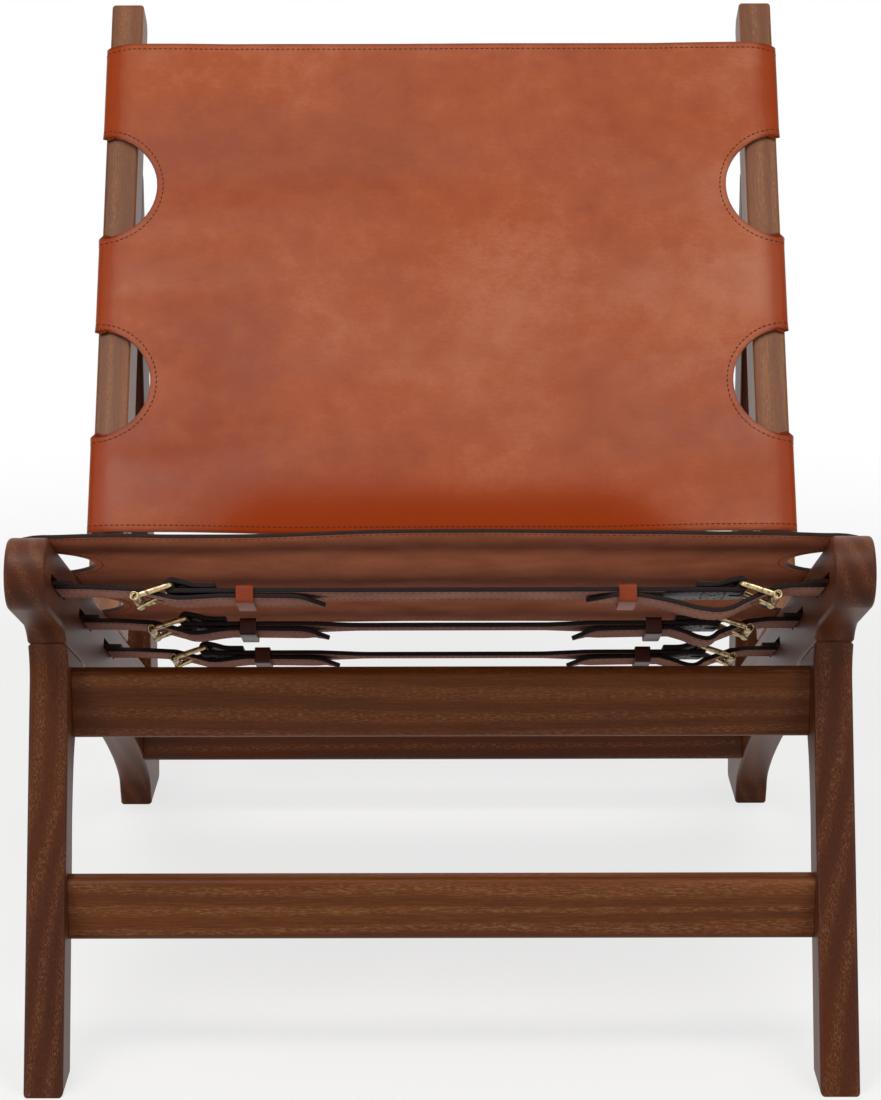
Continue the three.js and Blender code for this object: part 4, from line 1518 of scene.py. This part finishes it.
@dataclass
class StrapRow:
    """The straps and buckles at one pair of slots.

    X is measured from the middle of the chair, Y along the hide from the slots' middle and Z out
    of the hide from the slots' height. Hardware is drawn for the right side and turned for the left.
    Insets are measured inwards from the side frame's inner face. The shapes of the bow and the
    tail are shares of their length and of their fall.
    """

    name: str
    number: int
    place: Matrix
    hide: Hide
    finishes: Finishes
    drift: float
    keeper_insets: dict[Side, float]
    bow_falls: dict[Side, float]
    tail_falls: dict[Side, float]
    twist: float = 0.0
    gathered: Side | None = None
    strap_width: float = 39.0
    strap_thickness: float = 3.8
    heel_inset: float = 77.0
    heel_fall: float = 2.0
    roller_inset: float = 50.0
    roller_fall: float = 11.0
    bar_radius: float = 2.0
    bearing_gap: float = 0.3
    roller_wall: float = 1.3
    cheek_width: float = 3.6
    frame_opening: float = 42.0
    eye_radius: float = 2.9
    prong_width: float = 4.0
    prong_thickness: float = 2.6
    prong_overhang: float = 3.0
    prong_slot: float = 5.6
    prong_hole: float = 15.0
    billet_start_inset: float = 0.6
    sewn_inset: float = 26.0
    fold_return_inset: float = 110.0
    fold_run: float = 18.0
    bow_start_inset: float = 113.5
    tail_shoulder_inset: float = 176.0
    tail_bend_inset: float = 186.0
    tail_tip_inset: float = 194.0
    tail_taper: float = 27.0
    tail_twist: float = math.radians(6.0)
    keeper_length: float = 13.5
    keeper_thickness: float = 2.2
    keeper_slack: float = 1.4
    seam_inset: float = 5.0
    edge_ease: float = 0.6
    twist_fade: float = 40.0
    sewn_length: float = 52.0
    buckle_rounding: float = 3.4
    cheek_section: Pair = (1.8, 2.3)
    bar_section: Pair = (2.0, 2.0)
    eye_section: Pair = (0.85, 0.95)
    eye_shift: Pair = (0.6, 1.4)
    eye_steps: int = 20
    roller_sides: int = 28
    sleeve_gap: float = 0.5
    wire_radius: float = 0.95
    wire_swell: float = 0.3
    wire_tip_share: float = 0.93
    loop_start: float = 1.9
    loop_turn: float = 4.1
    bow_shape: tuple[Pair, ...] = ((0.0, 0.0), (0.3, 0.38), (0.55, 0.82), (0.76, 1.0), (0.9, 0.82))
    tail_shape: tuple[float, float, float] = (1.0, 0.55, 0.18)
    tail_rest: Pair = (8.0, 0.03)
    tip_share: float = 0.14
    keeper_clearance: float = 2.0
    heel_clearance: float = 3.0
    gather_margin: float = 0.5
    box_inset: float = 1.5
    box_start: float = 4.0
    box_end: float = 11.0

    @property
    def inner(self) -> float:
        """From the middle of the chair to a side frame's inner face."""
        return self.hide.timber.inner_half

    @property
    def heel(self) -> Pair:
        """The heel bar's axis."""
        return self.inner - self.heel_inset, -self.heel_fall

    @property
    def roller(self) -> Pair:
        """The roller's axis."""
        return self.inner - self.roller_inset, -self.roller_fall

    @property
    def fold_radius(self) -> float:
        """The middle strap's fold round the heel bar."""
        return self.bar_radius + self.bearing_gap + self.strap_thickness / 2

    @property
    def roller_radius(self) -> float:
        """The roller's outside."""
        return self.bar_radius + self.bearing_gap + self.roller_wall

    @property
    def main_z(self) -> float:
        """The middle strap's height."""
        return self.heel[1] - self.fold_radius

    @property
    def billet_z(self) -> float:
        """The billet's height where it lies under the middle strap."""
        return self.main_z - self.strap_thickness - self.bearing_gap

    @property
    def tilt(self) -> float:
        """The buckle's angle, from the heel bar to the roller."""
        return math.atan2(self.roller[1] - self.heel[1], self.roller[0] - self.heel[0])

    @property
    def prong_rest(self) -> Pair:
        """The prong's middle where it lies under the roller."""
        out = self.roller_radius + self.bearing_gap + self.prong_thickness / 2
        return (self.roller[0] + math.sin(self.tilt) * out, self.roller[1] - math.cos(self.tilt) * out)

    def hardware_place(self, side: Side) -> Matrix:
        """The axes of one side's buckle, from those of the row."""
        return self.place @ Matrix.Translation((self.drift * MM, 0, 0)) @ side.turn

    def band(
        self,
        name: str,
        path: Sequence[Pair],
        half_width: Callable[[float], float],
        materials: Sequence[bpy.types.Material],
        slots: Sequence[Pair] = (),
        dark: Sequence[Pair] = (),
        thickness: float = 0.0,
        closed: bool = False,
        shift: Callable[[float], float] = lambda d: 0.0,
    ) -> bpy.types.Object:
        """A strip of leather along a path.

        Args:
            name: The piece's name.
            path: The middle of its thickness, in X and Z.
            half_width: Half its width at a distance along the path.
            materials: Its face, its back and its edge.
            slots: Stretches with a slot for the prong, by distance along the path.
            dark: Stretches whose back takes the face's dark leather.
            thickness: The leather's, or zero for the strap's own.
            closed: Whether its ends meet.
            shift: How much its edges rise, per millimetre of width, at a distance.

        Returns:
            The strip, at the origin.
        """
        marks = lengths_along(path)
        slot_share = self.prong_slot / self.strap_width
        lanes = [-1.0, -0.75, -0.45, -slot_share, slot_share, 0.45, 0.75, 1.0]
        work = bmesh.new()
        shade = work.faces.layers.int.new("dyed")
        rows = []
        for (x, z), mark in zip(path, marks):
            half, rise = half_width(mark), shift(mark)
            rows.append([work.verts.new(Vector((x, lane * half, z + lane * half * rise)) * MM)
                         for lane in lanes])
        pairs = list(zip(range(len(rows)), range(1, len(rows))))
        if closed:
            rows.pop()
            pairs = [(i, (i + 1) % len(rows)) for i in range(len(rows))]
        for i, j in pairs:
            middle = (marks[i] + marks[min(i + 1, len(marks) - 1)]) / 2
            for k in range(len(lanes) - 1):
                if k == 3 and any(a < middle < b for a, b in slots):
                    continue
                face = work.faces.new((rows[i][k], rows[j][k], rows[j][k + 1], rows[i][k + 1]))
                face[shade] = DARK_BACK if any(a < middle < b for a, b in dark) else 0
        loose = [v for v in work.verts if not v.link_faces]
        bmesh.ops.delete(work, geom=loose, context="VERTS")
        piece = new_object(name, finished(work, name, materials))
        thickened(piece, thickness or self.strap_thickness, self.edge_ease)
        dyed = piece.data.attributes["dyed"].data
        for polygon, share in zip(piece.data.polygons, dyed):
            if share.value == DARK_BACK and polygon.material_index == 1:
                polygon.material_index = 0
        return piece

    def middle_path(self) -> list[Pair]:
        """The middle strap's path, from one folded end to the other."""
        r, (hx, hz) = self.fold_radius, self.heel
        back_z = self.main_z + self.strap_thickness + self.bearing_gap
        half = [
            *((hx * i / 30, self.main_z) for i in range(1, 30)),
            *arc((hx, hz), r, -QUARTER, QUARTER, 12),
            *spline([(hx, hz + r), (hx - self.fold_run * 0.5, (hz + r + back_z) / 2 + 0.3),
                     (hx - self.fold_run, back_z + 0.2),
                     (self.inner - self.fold_return_inset, back_z)], 5)[1:],
        ]
        return [*((-x, z) for x, z in reversed(half)), (0.0, self.main_z), *half]

    def middle_strap(self) -> None:
        """The strap between the two heel bars, its ends folded back and sewn."""
        path = self.middle_path()
        marks = lengths_along(path)
        total = marks[-1]
        reach = self.fold_radius + self.strap_thickness / 2 + self.heel_clearance
        crossed = [mark for (x, _), mark in zip(path, marks) if abs(abs(x) - self.heel[0]) < reach]
        slots = [(min(m for m in crossed if m < total / 2), max(m for m in crossed if m < total / 2)),
                 (min(m for m in crossed if m > total / 2), max(m for m in crossed if m > total / 2))]
        fin = self.finishes
        half = self.strap_width / 2
        free = self.inner - self.tail_shoulder_inset

        def turned(mark: float) -> float:
            """The twist at a distance: full in the open stretch, none at the buckles."""
            off = abs(mark - total / 2)
            return math.tan(self.twist) * max(0.0, min(1.0, (free - off) / self.twist_fade))

        sewn = [(slots[0][0], slots[0][1] + self.sewn_length),
                (slots[1][0] - self.sewn_length, slots[1][1])]
        strap = self.band(f"{self.name}_middle_strap_{self.number}_leather", path, lambda d: half,
                          (fin.strap_grain, fin.strap_face, fin.strap_edge), slots, sewn, shift=turned)
        place = self.place @ Matrix.Translation((self.drift * MM, 0, 0))
        strap.matrix_world = place
        seat(strap, FRAME_BODY, [f"{self.name}_middle_strap_{self.number}"])
        work = Stitching(pitch=5.4, length=3.6, radius=0.5)
        lift = self.strap_thickness / 2
        run = self.heel[0] - reach
        for lane in (-1, 1):
            y = lane * (half - self.seam_inset)
            work.row(lambda d: (
                Vector((d - run, y, self.main_z - lift + y * turned(abs(d - run) + total / 2))),
                Vector((0, 0, -1))), 2 * run)
        self.cross_stitches(work, lift)
        seams = work.piece(f"{self.name}_middle_strap_{self.number}_stitching", fin.strap_thread, place)
        seat(seams, FRAME_BODY)

    def cross_stitches(self, work: Stitching, lift: float) -> None:
        """The box and cross that hold each folded end."""
        half = self.strap_width / 2 - self.seam_inset - self.box_inset
        upper = self.main_z + self.strap_thickness + self.bearing_gap + lift
        for side, z, way in ((a, b, c) for a in (-1, 1) for b, c in ((upper, 1), (self.main_z - lift, -1))):
            near = self.inner - self.fold_return_inset + self.box_start
            far = self.heel[0] - self.box_end
            for a, b in (((near, -half), (far, half)), ((near, half), (far, -half)),
                         ((near, -half), (near, half)), ((far, -half), (far, half))):
                at, length = along([(side * a[0], a[1]), (side * b[0], b[1])])
                work.row(lambda d: (Vector((*at(d), z)), Vector((0, 0, way))), length)

    def billet(self, side: Side) -> None:
        """The pointed strap from a tongue, over the roller and back under the middle strap.

        Args:
            side: Which end of the row.
        """
        drawn = side.value * self.drift
        over = self.roller_radius + self.bearing_gap + self.strap_thickness / 2
        under = self.fold_radius + self.strap_thickness + self.bearing_gap
        hx, hz = self.heel
        fall = self.bow_falls[side]
        angle = self.tilt + math.asin((over + under) / math.dist(self.heel, self.roller))
        low = (hx + math.sin(angle) * under, hz - math.cos(angle) * under - 0.5 * fall)
        angle = (math.atan2(self.roller[1] - low[1], self.roller[0] - low[0])
                 + math.asin(over / math.dist(low, self.roller)))
        start_z = -self.hide.thickness / 2 - self.strap_thickness / 2
        keeper = self.inner - self.keeper_insets[side]
        bow_start = keeper + self.keeper_length / 2 + self.keeper_clearance
        if side is not self.gathered:
            bow_start = max(bow_start, self.inner - self.bow_start_inset)
        span = low[0] - bow_start
        bow = [*((bow_start + a * span, self.billet_z - b * fall) for a, b in self.bow_shape), low]
        droop = self.tail_falls[side]
        insets = (self.tail_tip_inset, self.tail_bend_inset, self.tail_shoulder_inset)
        rest, rest_share = self.tail_rest
        tail = spline([*((self.inner - inset, self.billet_z - share * droop)
                         for inset, share in zip(insets, self.tail_shape)),
                       (keeper - rest, self.billet_z - rest_share * droop), (keeper, self.billet_z)], 8)
        over_top = arc(self.roller, over, angle + QUARTER, QUARTER, 8)
        (ax, az), (bx, bz) = low, over_top[0]
        path = [
            *tail,
            *spline(bow, 8),
            *((ax + (bx - ax) * i / 10, az + (bz - az) * i / 10) for i in range(1, 10)),
            *over_top,
        ]
        path = [(x + drawn, z) for x, z in path]
        sewn = self.inner - self.sewn_inset
        end_x, end_z = path[-1]
        path += [*((end_x + (sewn - end_x) * i / 4, end_z + (start_z - end_z) * i / 4)
                   for i in range(1, 5)), (self.inner - self.billet_start_inset, start_z)]
        marks = lengths_along(path)
        half = self.strap_width / 2
        free = self.tail_tip_inset - self.tail_shoulder_inset + 2

        def width(mark: float) -> float:
            """Half the width: a long blunt point at the tail."""
            share = min(1.0, mark / self.tail_taper)
            return half * (self.tip_share + (1 - self.tip_share) * math.sin(share * QUARTER))

        def lifted(mark: float) -> float:
            """The tail's own twist, rear edge up."""
            return side.value * math.tan(self.tail_twist) * max(0.0, min(1.0, (free - mark) / free))

        through = crossing(self.heel, self.prong_rest, low, over_top[0])[0] + drawn
        middle = next(mark for (x, _), mark in zip(path, marks) if x >= through)
        holes = [(middle - self.prong_hole / 2, middle + self.prong_hole / 2)]
        fin = self.finishes
        name = f"{self.name}_billet_{self.number}_{side.word}"
        place = self.place @ side.turn
        at, length = along(path)
        lift = self.strap_thickness / 2

        def surface(d: float, lane: int) -> tuple[Vector, Vector]:
            """A point of the billet's underside, inside its edge."""
            (x, z), (xa, za), (xb, zb) = at(d), at(d - 1), at(d + 1)
            size = math.hypot(xb - xa, zb - za) or 1.0
            normal = Vector(((zb - za) / size, 0, -(xb - xa) / size))
            y = lane * max(0.6, width(d) - self.seam_inset)
            return Vector((x, y, z + y * lifted(d))) + normal * lift, normal

        split = len(tail) - 1
        parts = {"tail": (0, split), "bow": (split, len(path) - 1)} if side is self.gathered else {
            "": (0, len(path) - 1)}
        for part, (first, last) in parts.items():
            begin = marks[first]
            title = f"{name}_{part}" if part else name
            strap = self.band(title, path[first:last + 1], lambda d: width(d + begin),
                              (fin.strap_grain, fin.strap_face, fin.strap_edge),
                              [(a - begin, b - begin) for a, b in holes],
                              shift=lambda d: lifted(d + begin))
            strap.matrix_world = place
            sewn_from, sewn_to = max(begin, 6.0), min(marks[last], length - 2)
            work = Stitching(pitch=5.0, length=3.4, radius=0.5)
            for lane in (-1, 1):
                work.row(lambda d: surface(d + sewn_from, lane), sewn_to - sewn_from)
            seams = work.piece(f"{title}_stitching", fin.strap_thread, place)
            if part:
                self.gather((strap, seams), side, part)
            else:
                seat(strap, FRAME_BODY, [f"{self.name}_sling"])
                seat(seams, FRAME_BODY)

    def gather(self, pieces: Iterable[bpy.types.Object], side: Side, part: str) -> None:
        """Fix the pieces of a slack billet's tail or bow where they lie, on one side of its keeper.

        Args:
            pieces: The leather and its stitches.
            side: Which end of the row.
            part: The tail or the bow.
        """
        keeper = self.keeper_insets[side]
        reach = self.keeper_length / 2 + self.gather_margin
        insets = {"tail": (self.tail_tip_inset, keeper + reach),
                  "bow": (self.heel_inset + self.heel_clearance, keeper - reach)}
        place = self.hardware_place(side)
        still, carried = (place @ Vector(((self.inner - inset) * MM, 0, self.billet_z * MM))
                          for inset in insets[part])
        for piece in pieces:
            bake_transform(piece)
            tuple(still)
            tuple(carried)
            LOG.info("%s gathers with its keeper, %d faces", piece.name, len(piece.data.polygons))

    def tube(self, name: str, path: Sequence[Vector], radii: Sequence[Pair], up: Vector, closed: bool,
             sides: int = 14) -> bpy.types.Mesh:
        """A cast bar swept along a flat path.

        Args:
            name: The mesh's name.
            path: The bar's axis, in millimetres.
            radii: Its half sizes in the path's plane and out of it, at each point.
            up: The plane's normal.
            closed: Whether its ends meet.
            sides: How many faces go round it.

        Returns:
            The mesh.
        """
        work = bmesh.new()
        count = len(path)
        rows = []
        for i, hub in enumerate(path):
            before = path[i - 1] if i or closed else hub
            after = path[(i + 1) % count] if i < count - 1 or closed else hub
            across = up.cross((after - before).normalized())
            a, b = radii[i]
            rows.append([work.verts.new((hub + across * a * math.cos(t) + up * b * math.sin(t)) * MM)
                         for t in (k * 2 * math.pi / sides for k in range(sides))])
        skin(work, rows, closed)
        bmesh.ops.recalc_face_normals(work, faces=work.faces)
        mesh = finished(work, name, [self.finishes.brass])
        smooth_shaded(mesh, 50.0)
        return mesh

    def buckle_mesh(self) -> bpy.types.Mesh:
        """The frame: heel, side and roller bars in one ring, and an eye at each end of the roller."""
        y = (self.frame_opening + self.cheek_width) / 2
        long = math.dist(self.heel, self.roller)
        r = self.buckle_rounding
        ring = rounded_ring((r, r - y), (long - r, y - r), r, 6)
        ahead = Vector((math.cos(self.tilt), 0, math.sin(self.tilt)))
        start = Vector((self.heel[0], 0, self.heel[1]))
        path = [start + ahead * a + Vector((0, b, 0)) for a, b in ring]
        up = Vector((-ahead.z, 0, ahead.x))
        radii = []
        for a, b in ring:
            cheek = min(1.0, max(0.0, (abs(b) - (y - r)) / r))
            radii.append(tuple(bar + (wide - bar) * cheek
                               for bar, wide in zip(self.bar_section, self.cheek_section)))
        mesh = self.tube("buckle_frame", path, radii, up, True)
        work = bmesh.new()
        work.from_mesh(mesh)
        ahead_of_bar, beyond_cheek = self.eye_shift
        round_bar = arc((self.roller[0] + ahead_of_bar, self.roller[1]), self.eye_radius, 0,
                        2 * math.pi, self.eye_steps)[:-1]
        for side in (-1, 1):
            eye = self.tube("buckle_eye",
                            [Vector((x, side * (y + beyond_cheek), z)) for x, z in round_bar],
                            [self.eye_section] * self.eye_steps, Vector((0, side, 0)), True, 10)
            work.from_mesh(eye)
            bpy.data.meshes.remove(eye)
        work.to_mesh(mesh)
        work.free()
        return mesh

    def roller_mesh(self) -> bpy.types.Mesh:
        """The rolled sleeve on the frame's outer bar."""
        reach = self.frame_opening / 2 - self.sleeve_gap
        out, inner = self.roller_radius, self.bar_radius + self.bearing_gap
        profile = [(inner, -reach), (out - 0.5, -reach), (out - 0.15, -reach + 0.15), (out, -reach + 0.6),
                   (out, reach - 0.6), (out - 0.15, reach - 0.15), (out - 0.5, reach), (inner, reach)]
        x, z = self.roller
        work = bmesh.new()
        rows = [[work.verts.new(Vector((x + r * math.cos(a), y, z + r * math.sin(a))) * MM)
                 for r, y in profile]
                for a in (k * 2 * math.pi / self.roller_sides for k in range(self.roller_sides))]
        skin(work, rows, closed=True)
        bmesh.ops.recalc_face_normals(work, faces=work.faces)
        mesh = finished(work, "buckle_roller", [self.finishes.brass])
        smooth_shaded(mesh, 40.0)
        return mesh

    def prong_mesh(self) -> bpy.types.Mesh:
        """The prong: a wire looped round the heel bar, flattened where it lies on the roller."""
        hx, hz = self.heel
        rest = self.prong_rest
        heading = math.atan2(rest[1] - hz, rest[0] - hx)
        eye = self.bar_radius + self.bearing_gap + self.wire_radius
        start = heading + self.loop_start
        loop = arc((hx, hz), eye, start, start + self.loop_turn, 18)
        c, s = math.cos(heading), math.sin(heading)
        reach = math.dist((hx, hz), rest)
        arm = [(hx + c * d - s * o, hz + s * d + c * o) for d, o in (
            (eye + 1.6, -1.1), (eye + 4, -0.35), (reach * 0.5, 0.0), (reach * 0.75, 0.25),
            (reach - 2, 0.3), (reach + self.prong_overhang - 1.2, -0.1),
            (reach + self.prong_overhang - 0.3, -0.3))]
        path = [Vector((x, 0, z)) for x, z in [*loop, *spline(arm, 3)]]
        count = len(path)
        radii = []
        for i in range(count):
            t = i / (count - 1)
            body = self.wire_radius + self.wire_swell * min(1.0, max(0.0, (t - 0.4) / 0.2))
            tip = t > self.wire_tip_share
            if tip:
                body *= max(0.45, 1 - (t - self.wire_tip_share) / (1 - self.wire_tip_share) * 0.55)
            radii.append((body, self.prong_width / 2 * (0.72 if tip else 0.86)))
        return self.tube("buckle_prong", path, radii, Vector((0, 1, 0)), False, 12)

    def keeper(self, side: Side) -> None:
        """The leather loop round both straps.

        Args:
            side: Which end of the row.
        """
        x = self.inner - self.keeper_insets[side]
        t = self.keeper_thickness
        gap = self.bearing_gap + t / 2
        y = self.strap_width / 2
        top = self.main_z + self.strap_thickness / 2
        bottom = self.billet_z - self.strap_thickness / 2 - self.keeper_slack
        ring = rounded_ring((-y, bottom), (y, top), gap, 5)
        ring.append(ring[0])
        tan = self.name == "seat" and self.number == 1
        face = self.finishes.keeper_tan if tan else self.finishes.keeper_brown
        name = f"{self.name}_keeper_{self.number}_{side.word}"
        loop = self.band(f"{name}_loop", ring, lambda d: self.keeper_length / 2,
                         (self.finishes.strap_face, face, face), thickness=t, closed=True)
        turn = Matrix(((0, 1, 0, x * MM), (1, 0, 0, 0), (0, 0, 1, 0), (0, 0, 0, 1)))
        loop.data.transform(turn)
        loop.data.flip_normals()
        loop.matrix_world = self.hardware_place(side)
        seat(loop, name, [name])

    def build(self) -> None:
        """Build the row's straps, buckles, prongs and keepers."""
        self.middle_strap()
        for side in Side:
            self.billet(side)
            place = self.hardware_place(side)
            tail = f"{self.number}_{side.word}"
            buckle = new_object(f"{self.name}_buckle_{tail}_frame", self.buckle_mesh(), place)
            seat(buckle, FRAME_BODY, [f"{self.name}_buckle_{tail}"])
            roller = new_object(f"{self.name}_buckle_{tail}_roller", self.roller_mesh(), place)
            seat(roller, FRAME_BODY)
            node = f"{self.name}_prong_{tail}"
            prong = new_object(f"{node}_wire", self.prong_mesh(), place)
            seat(prong, node, [node])
            self.keeper(side)


# ---- The chair


@dataclass
class LoungeChair:
    """The whole chair: timber, two hides and six rows of straps."""

    finishes: Finishes
    view: SideView = field(default_factory=SideView)

    def build(self) -> None:
        """Build every piece of the chair."""
        timber = TimberFrame(self.view, self.finishes)
        post = timber.post_length
        # The back hide's own start and length are shares of the post's, as in the CAD.
        seat_hide = Hide(
            "seat_sling", self.view.seat_place(), timber, self.finishes, start=1.5, length=422.0,
            slot_shares=(0.108, 0.499, 0.89), cutout_shares=(0.258, 0.739), slot_drop=27.0, crown=4.0,
            edge=self.finishes.painted_edge, corner_falls=(13.0, 4.0), front_rise=1.7, front_dip=2.9,
            seed=3.7)
        back_hide = Hide(
            "back_sling", self.view.back_place(), timber, self.finishes, start=0.147 * post,
            length=0.779 * post, slot_shares=(0.093, 0.493, 0.897), cutout_shares=(0.292, 0.694),
            slot_drop=25.0, crown=0.0, edge=self.finishes.raw_edge, corner_falls=(0.0, 4.5),
            band_curl=6.0, seed=8.2)
        timber.build(seat_hide.slots, back_hide.slots, seat_hide.slot_drop, back_hide.slot_drop)
        # Each row: its drift, its keepers' insets, its bows' falls and its tails' falls left and
        # right, its twist in degrees, and the side where its billet is split at the keeper.
        rows = {
            "seat": (seat_hide, (
                (12, (133, 163), (1.5, 12), (4.5, 1), 0.0, Side.RIGHT),
                (8, (128, 128), (3.5, 9), (5, 6), 4.5, None),
                (10, (127, 128), (3, 8), (5, 5.5), 5.0, None))),
            "back": (back_hide, (
                (0, (128, 133), (5, 6), (3, 4), 0.0, None),
                (5, (133, 128), (5, 5), (4, 3), 0.0, None),
                (0, (128, 131), (4, 6), (3, 3), 0.0, None))),
        }
        for name, (hide, straps) in rows.items():
            hide.build()
            for i, (run, (drift, *pairs, twist, gathered)) in enumerate(zip(hide.slots, straps)):
                place = hide.place @ Matrix.Translation((0, run * MM, -hide.slot_drop * MM))
                StrapRow(name, i + 1, place, hide, self.finishes, drift,
                         *(dict(zip(Side, pair)) for pair in pairs), math.radians(twist),
                         gathered).build()


# ---- The studio


@dataclass(frozen=True)
class Lamp:
    """One soft lamp.

    It hangs at a place and faces its aim, both in metres. Its size is its width and height, and
    its power is in watts.
    """

    name: str
    place: tuple[float, float, float]
    aim: tuple[float, float, float]
    size: Pair
    watts: float

    def hang(self) -> None:
        """Put the lamp in the scene."""
        data = bpy.data.lights.new(self.name, "AREA")
        data.shape = "RECTANGLE"
        data.size, data.size_y = self.size
        data.energy = self.watts
        lamp = bpy.data.objects.new(self.name, data)
        bpy.context.scene.collection.objects.link(lamp)
        lamp.location = self.place
        facing = Vector(self.aim) - Vector(self.place)
        lamp.rotation_euler = facing.to_track_quat("-Z", "Y").to_euler()


def seeing_ray(tree: bpy.types.NodeTree) -> bpy.types.NodeSocket:
    """A value of 1 for rays from the camera, off a glossy face or through glass, and 0 for others."""
    path = add_node(tree, "ShaderNodeLightPath")
    mirrored = add_node(tree, "ShaderNodeMath", operation="MAXIMUM",
                        links={0: path.outputs["Is Glossy Ray"], 1: path.outputs["Is Transmission Ray"]})
    either = add_node(tree, "ShaderNodeMath", operation="MAXIMUM",
                      links={0: path.outputs["Is Camera Ray"], 1: mirrored.outputs[0]})
    return either.outputs[0]


@dataclass(frozen=True)
class Studio:
    """A pale floor, soft lamps and the camera at the photograph's place."""

    photo_size: tuple[int, int] = (881, 1100)
    focal_px: float = 2833.0
    eye_mm: tuple[float, float, float] = (8.26, -2449.2, 957.8)
    pitch_deg: float = 14.403
    yaw_deg: float = 0.217
    roll_deg: float = 0.198
    floor_colour: str = "#dddbd8"
    floor_lift: float = 0.72
    floor_half: float = 6.0
    floor_fade: Pair = (0.75, 2.1)
    front_light: float = 0.09
    rear_light: float = 1.0
    lamps: tuple[Lamp, ...] = (
        Lamp("upper_left", (-0.8, -1.2, 2.2), (0, 0.0, 0.45), (0.8, 0.7), 20.0),
        Lamp("upper_right", (0.85, -1.1, 2.3), (0, 0.0, 0.45), (0.8, 0.7), 14.6),
        Lamp("overhead", (0.0, -0.3, 2.7), (0, 0.0, 0.3), (1.4, 0.8), 7.3),
        Lamp("left_front", (-1.9, -2.0, 1.1), (0, 0, 0.35), (0.9, 1.6), 13.0),
        Lamp("right_front", (1.9, -2.0, 1.1), (0, 0, 0.35), (0.9, 1.6), 11.7),
    )

    def camera(self) -> None:
        """The camera, solved from the photograph."""
        data = bpy.data.cameras.new("camera")
        data.sensor_width = 36.0
        data.lens = self.focal_px * data.sensor_width / max(self.photo_size)
        data.clip_start, data.clip_end = 0.05, 60.0
        pitch, yaw, roll = (math.radians(a) for a in (self.pitch_deg, self.yaw_deg, self.roll_deg))
        ahead = Vector((-math.sin(yaw) * math.cos(pitch), math.cos(yaw) * math.cos(pitch),
                        -math.sin(pitch)))
        right = ahead.cross(Vector((0, 0, 1))).normalized()
        down = ahead.cross(right)
        right, down = (math.cos(roll) * right + math.sin(roll) * down,
                       math.cos(roll) * down - math.sin(roll) * right)
        axes = Matrix((right, -down, -ahead)).transposed().to_4x4()
        eye = bpy.data.objects.new("camera", data)
        bpy.context.scene.collection.objects.link(eye)
        eye.matrix_world = Matrix.Translation(Vector(self.eye_mm) * MM) @ axes
        bpy.context.scene.camera = eye

    def floor(self) -> None:
        """A pale floor that keeps the chair's shadow and fades into the white surround."""
        mesh = bpy.data.meshes.new("floor")
        half = self.floor_half
        corners = [(-half, -half, 0), (half, -half, 0), (half, half, 0), (-half, half, 0)]
        mesh.from_pydata(corners, [], [(0, 1, 2, 3)])
        floor = new_object("floor", mesh)
        material, tree, shader = new_material("studio_floor")
        shader.inputs["Roughness"].default_value = 0.9
        shader.inputs["Specular IOR Level"].default_value = 0.1
        shader.inputs["Base Color"].default_value = linear(self.floor_colour)
        output = next(node for node in tree.nodes if node.type == "OUTPUT_MATERIAL")
        coords = add_node(tree, "ShaderNodeTexCoord")
        reach = add_node(tree, "ShaderNodeVectorMath", operation="LENGTH",
                         links={0: coords.outputs["Object"]})
        fade = add_node(tree, "ShaderNodeMapRange", interpolation_type="SMOOTHSTEP",
                        values={1: self.floor_fade[0], 2: self.floor_fade[1]},
                        links={0: reach.outputs["Value"]})
        seen = add_node(tree, "ShaderNodeMath", operation="MULTIPLY", values={1: self.floor_lift},
                        links={0: seeing_ray(tree)})
        glow = add_node(tree, "ShaderNodeEmission", values={"Strength": 1.0})
        lifted = add_node(tree, "ShaderNodeMixShader",
                          links={0: seen.outputs[0], 1: shader.outputs["BSDF"], 2: glow.outputs[0]})
        clear = add_node(tree, "ShaderNodeBsdfTransparent")
        add_node(tree, "ShaderNodeMixShader",
                 links={0: fade.outputs[0], 1: lifted.outputs[0], 2: clear.outputs[0]})
        tree.links.new(tree.nodes[-1].outputs[0], output.inputs["Surface"])
        mesh.materials.append(material)

    def world(self) -> None:
        """A surround that lights from behind, and is white where it is seen or mirrored."""
        world = bpy.data.worlds.new("surround")
        bpy.context.scene.world = world
        world.use_nodes = True
        tree = world.node_tree
        tree.nodes.clear()
        seen = seeing_ray(tree)
        heading = add_node(tree, "ShaderNodeSeparateXYZ",
                           links={0: add_node(tree, "ShaderNodeTexCoord").outputs["Generated"]})
        behind = add_node(tree, "ShaderNodeMapRange", interpolation_type="SMOOTHSTEP",
                          values={1: -0.2, 2: 0.7, 3: self.front_light, 4: self.rear_light},
                          links={0: heading.outputs["Y"]})
        soft = add_node(tree, "ShaderNodeBackground", values={"Color": linear("#ffffff")},
                        links={"Strength": behind.outputs[0]})
        white = add_node(tree, "ShaderNodeBackground", values={"Color": linear("#ffffff"), "Strength": 1.0})
        mix = add_node(tree, "ShaderNodeMixShader",
                       links={0: seen, 1: soft.outputs[0], 2: white.outputs[0]})
        add_node(tree, "ShaderNodeOutputWorld", links={"Surface": mix.outputs[0]})

    def build(self) -> None:
        """Set up the camera, the floor, the lamps and the surround."""
        self.camera()
        self.floor()
        self.world()
        for lamp in self.lamps:
            lamp.hang()
        bpy.context.scene.view_settings.view_transform = "Standard"


def main() -> None:
    """Build the studio and the chair, and note the sizes."""
    logging.basicConfig(level=logging.INFO, format="%(message)s")
    Studio().build()
    LoungeChair(Finishes.made()).build()
    bpy.context.view_layer.update()


if __name__ == "__main__":
    main()
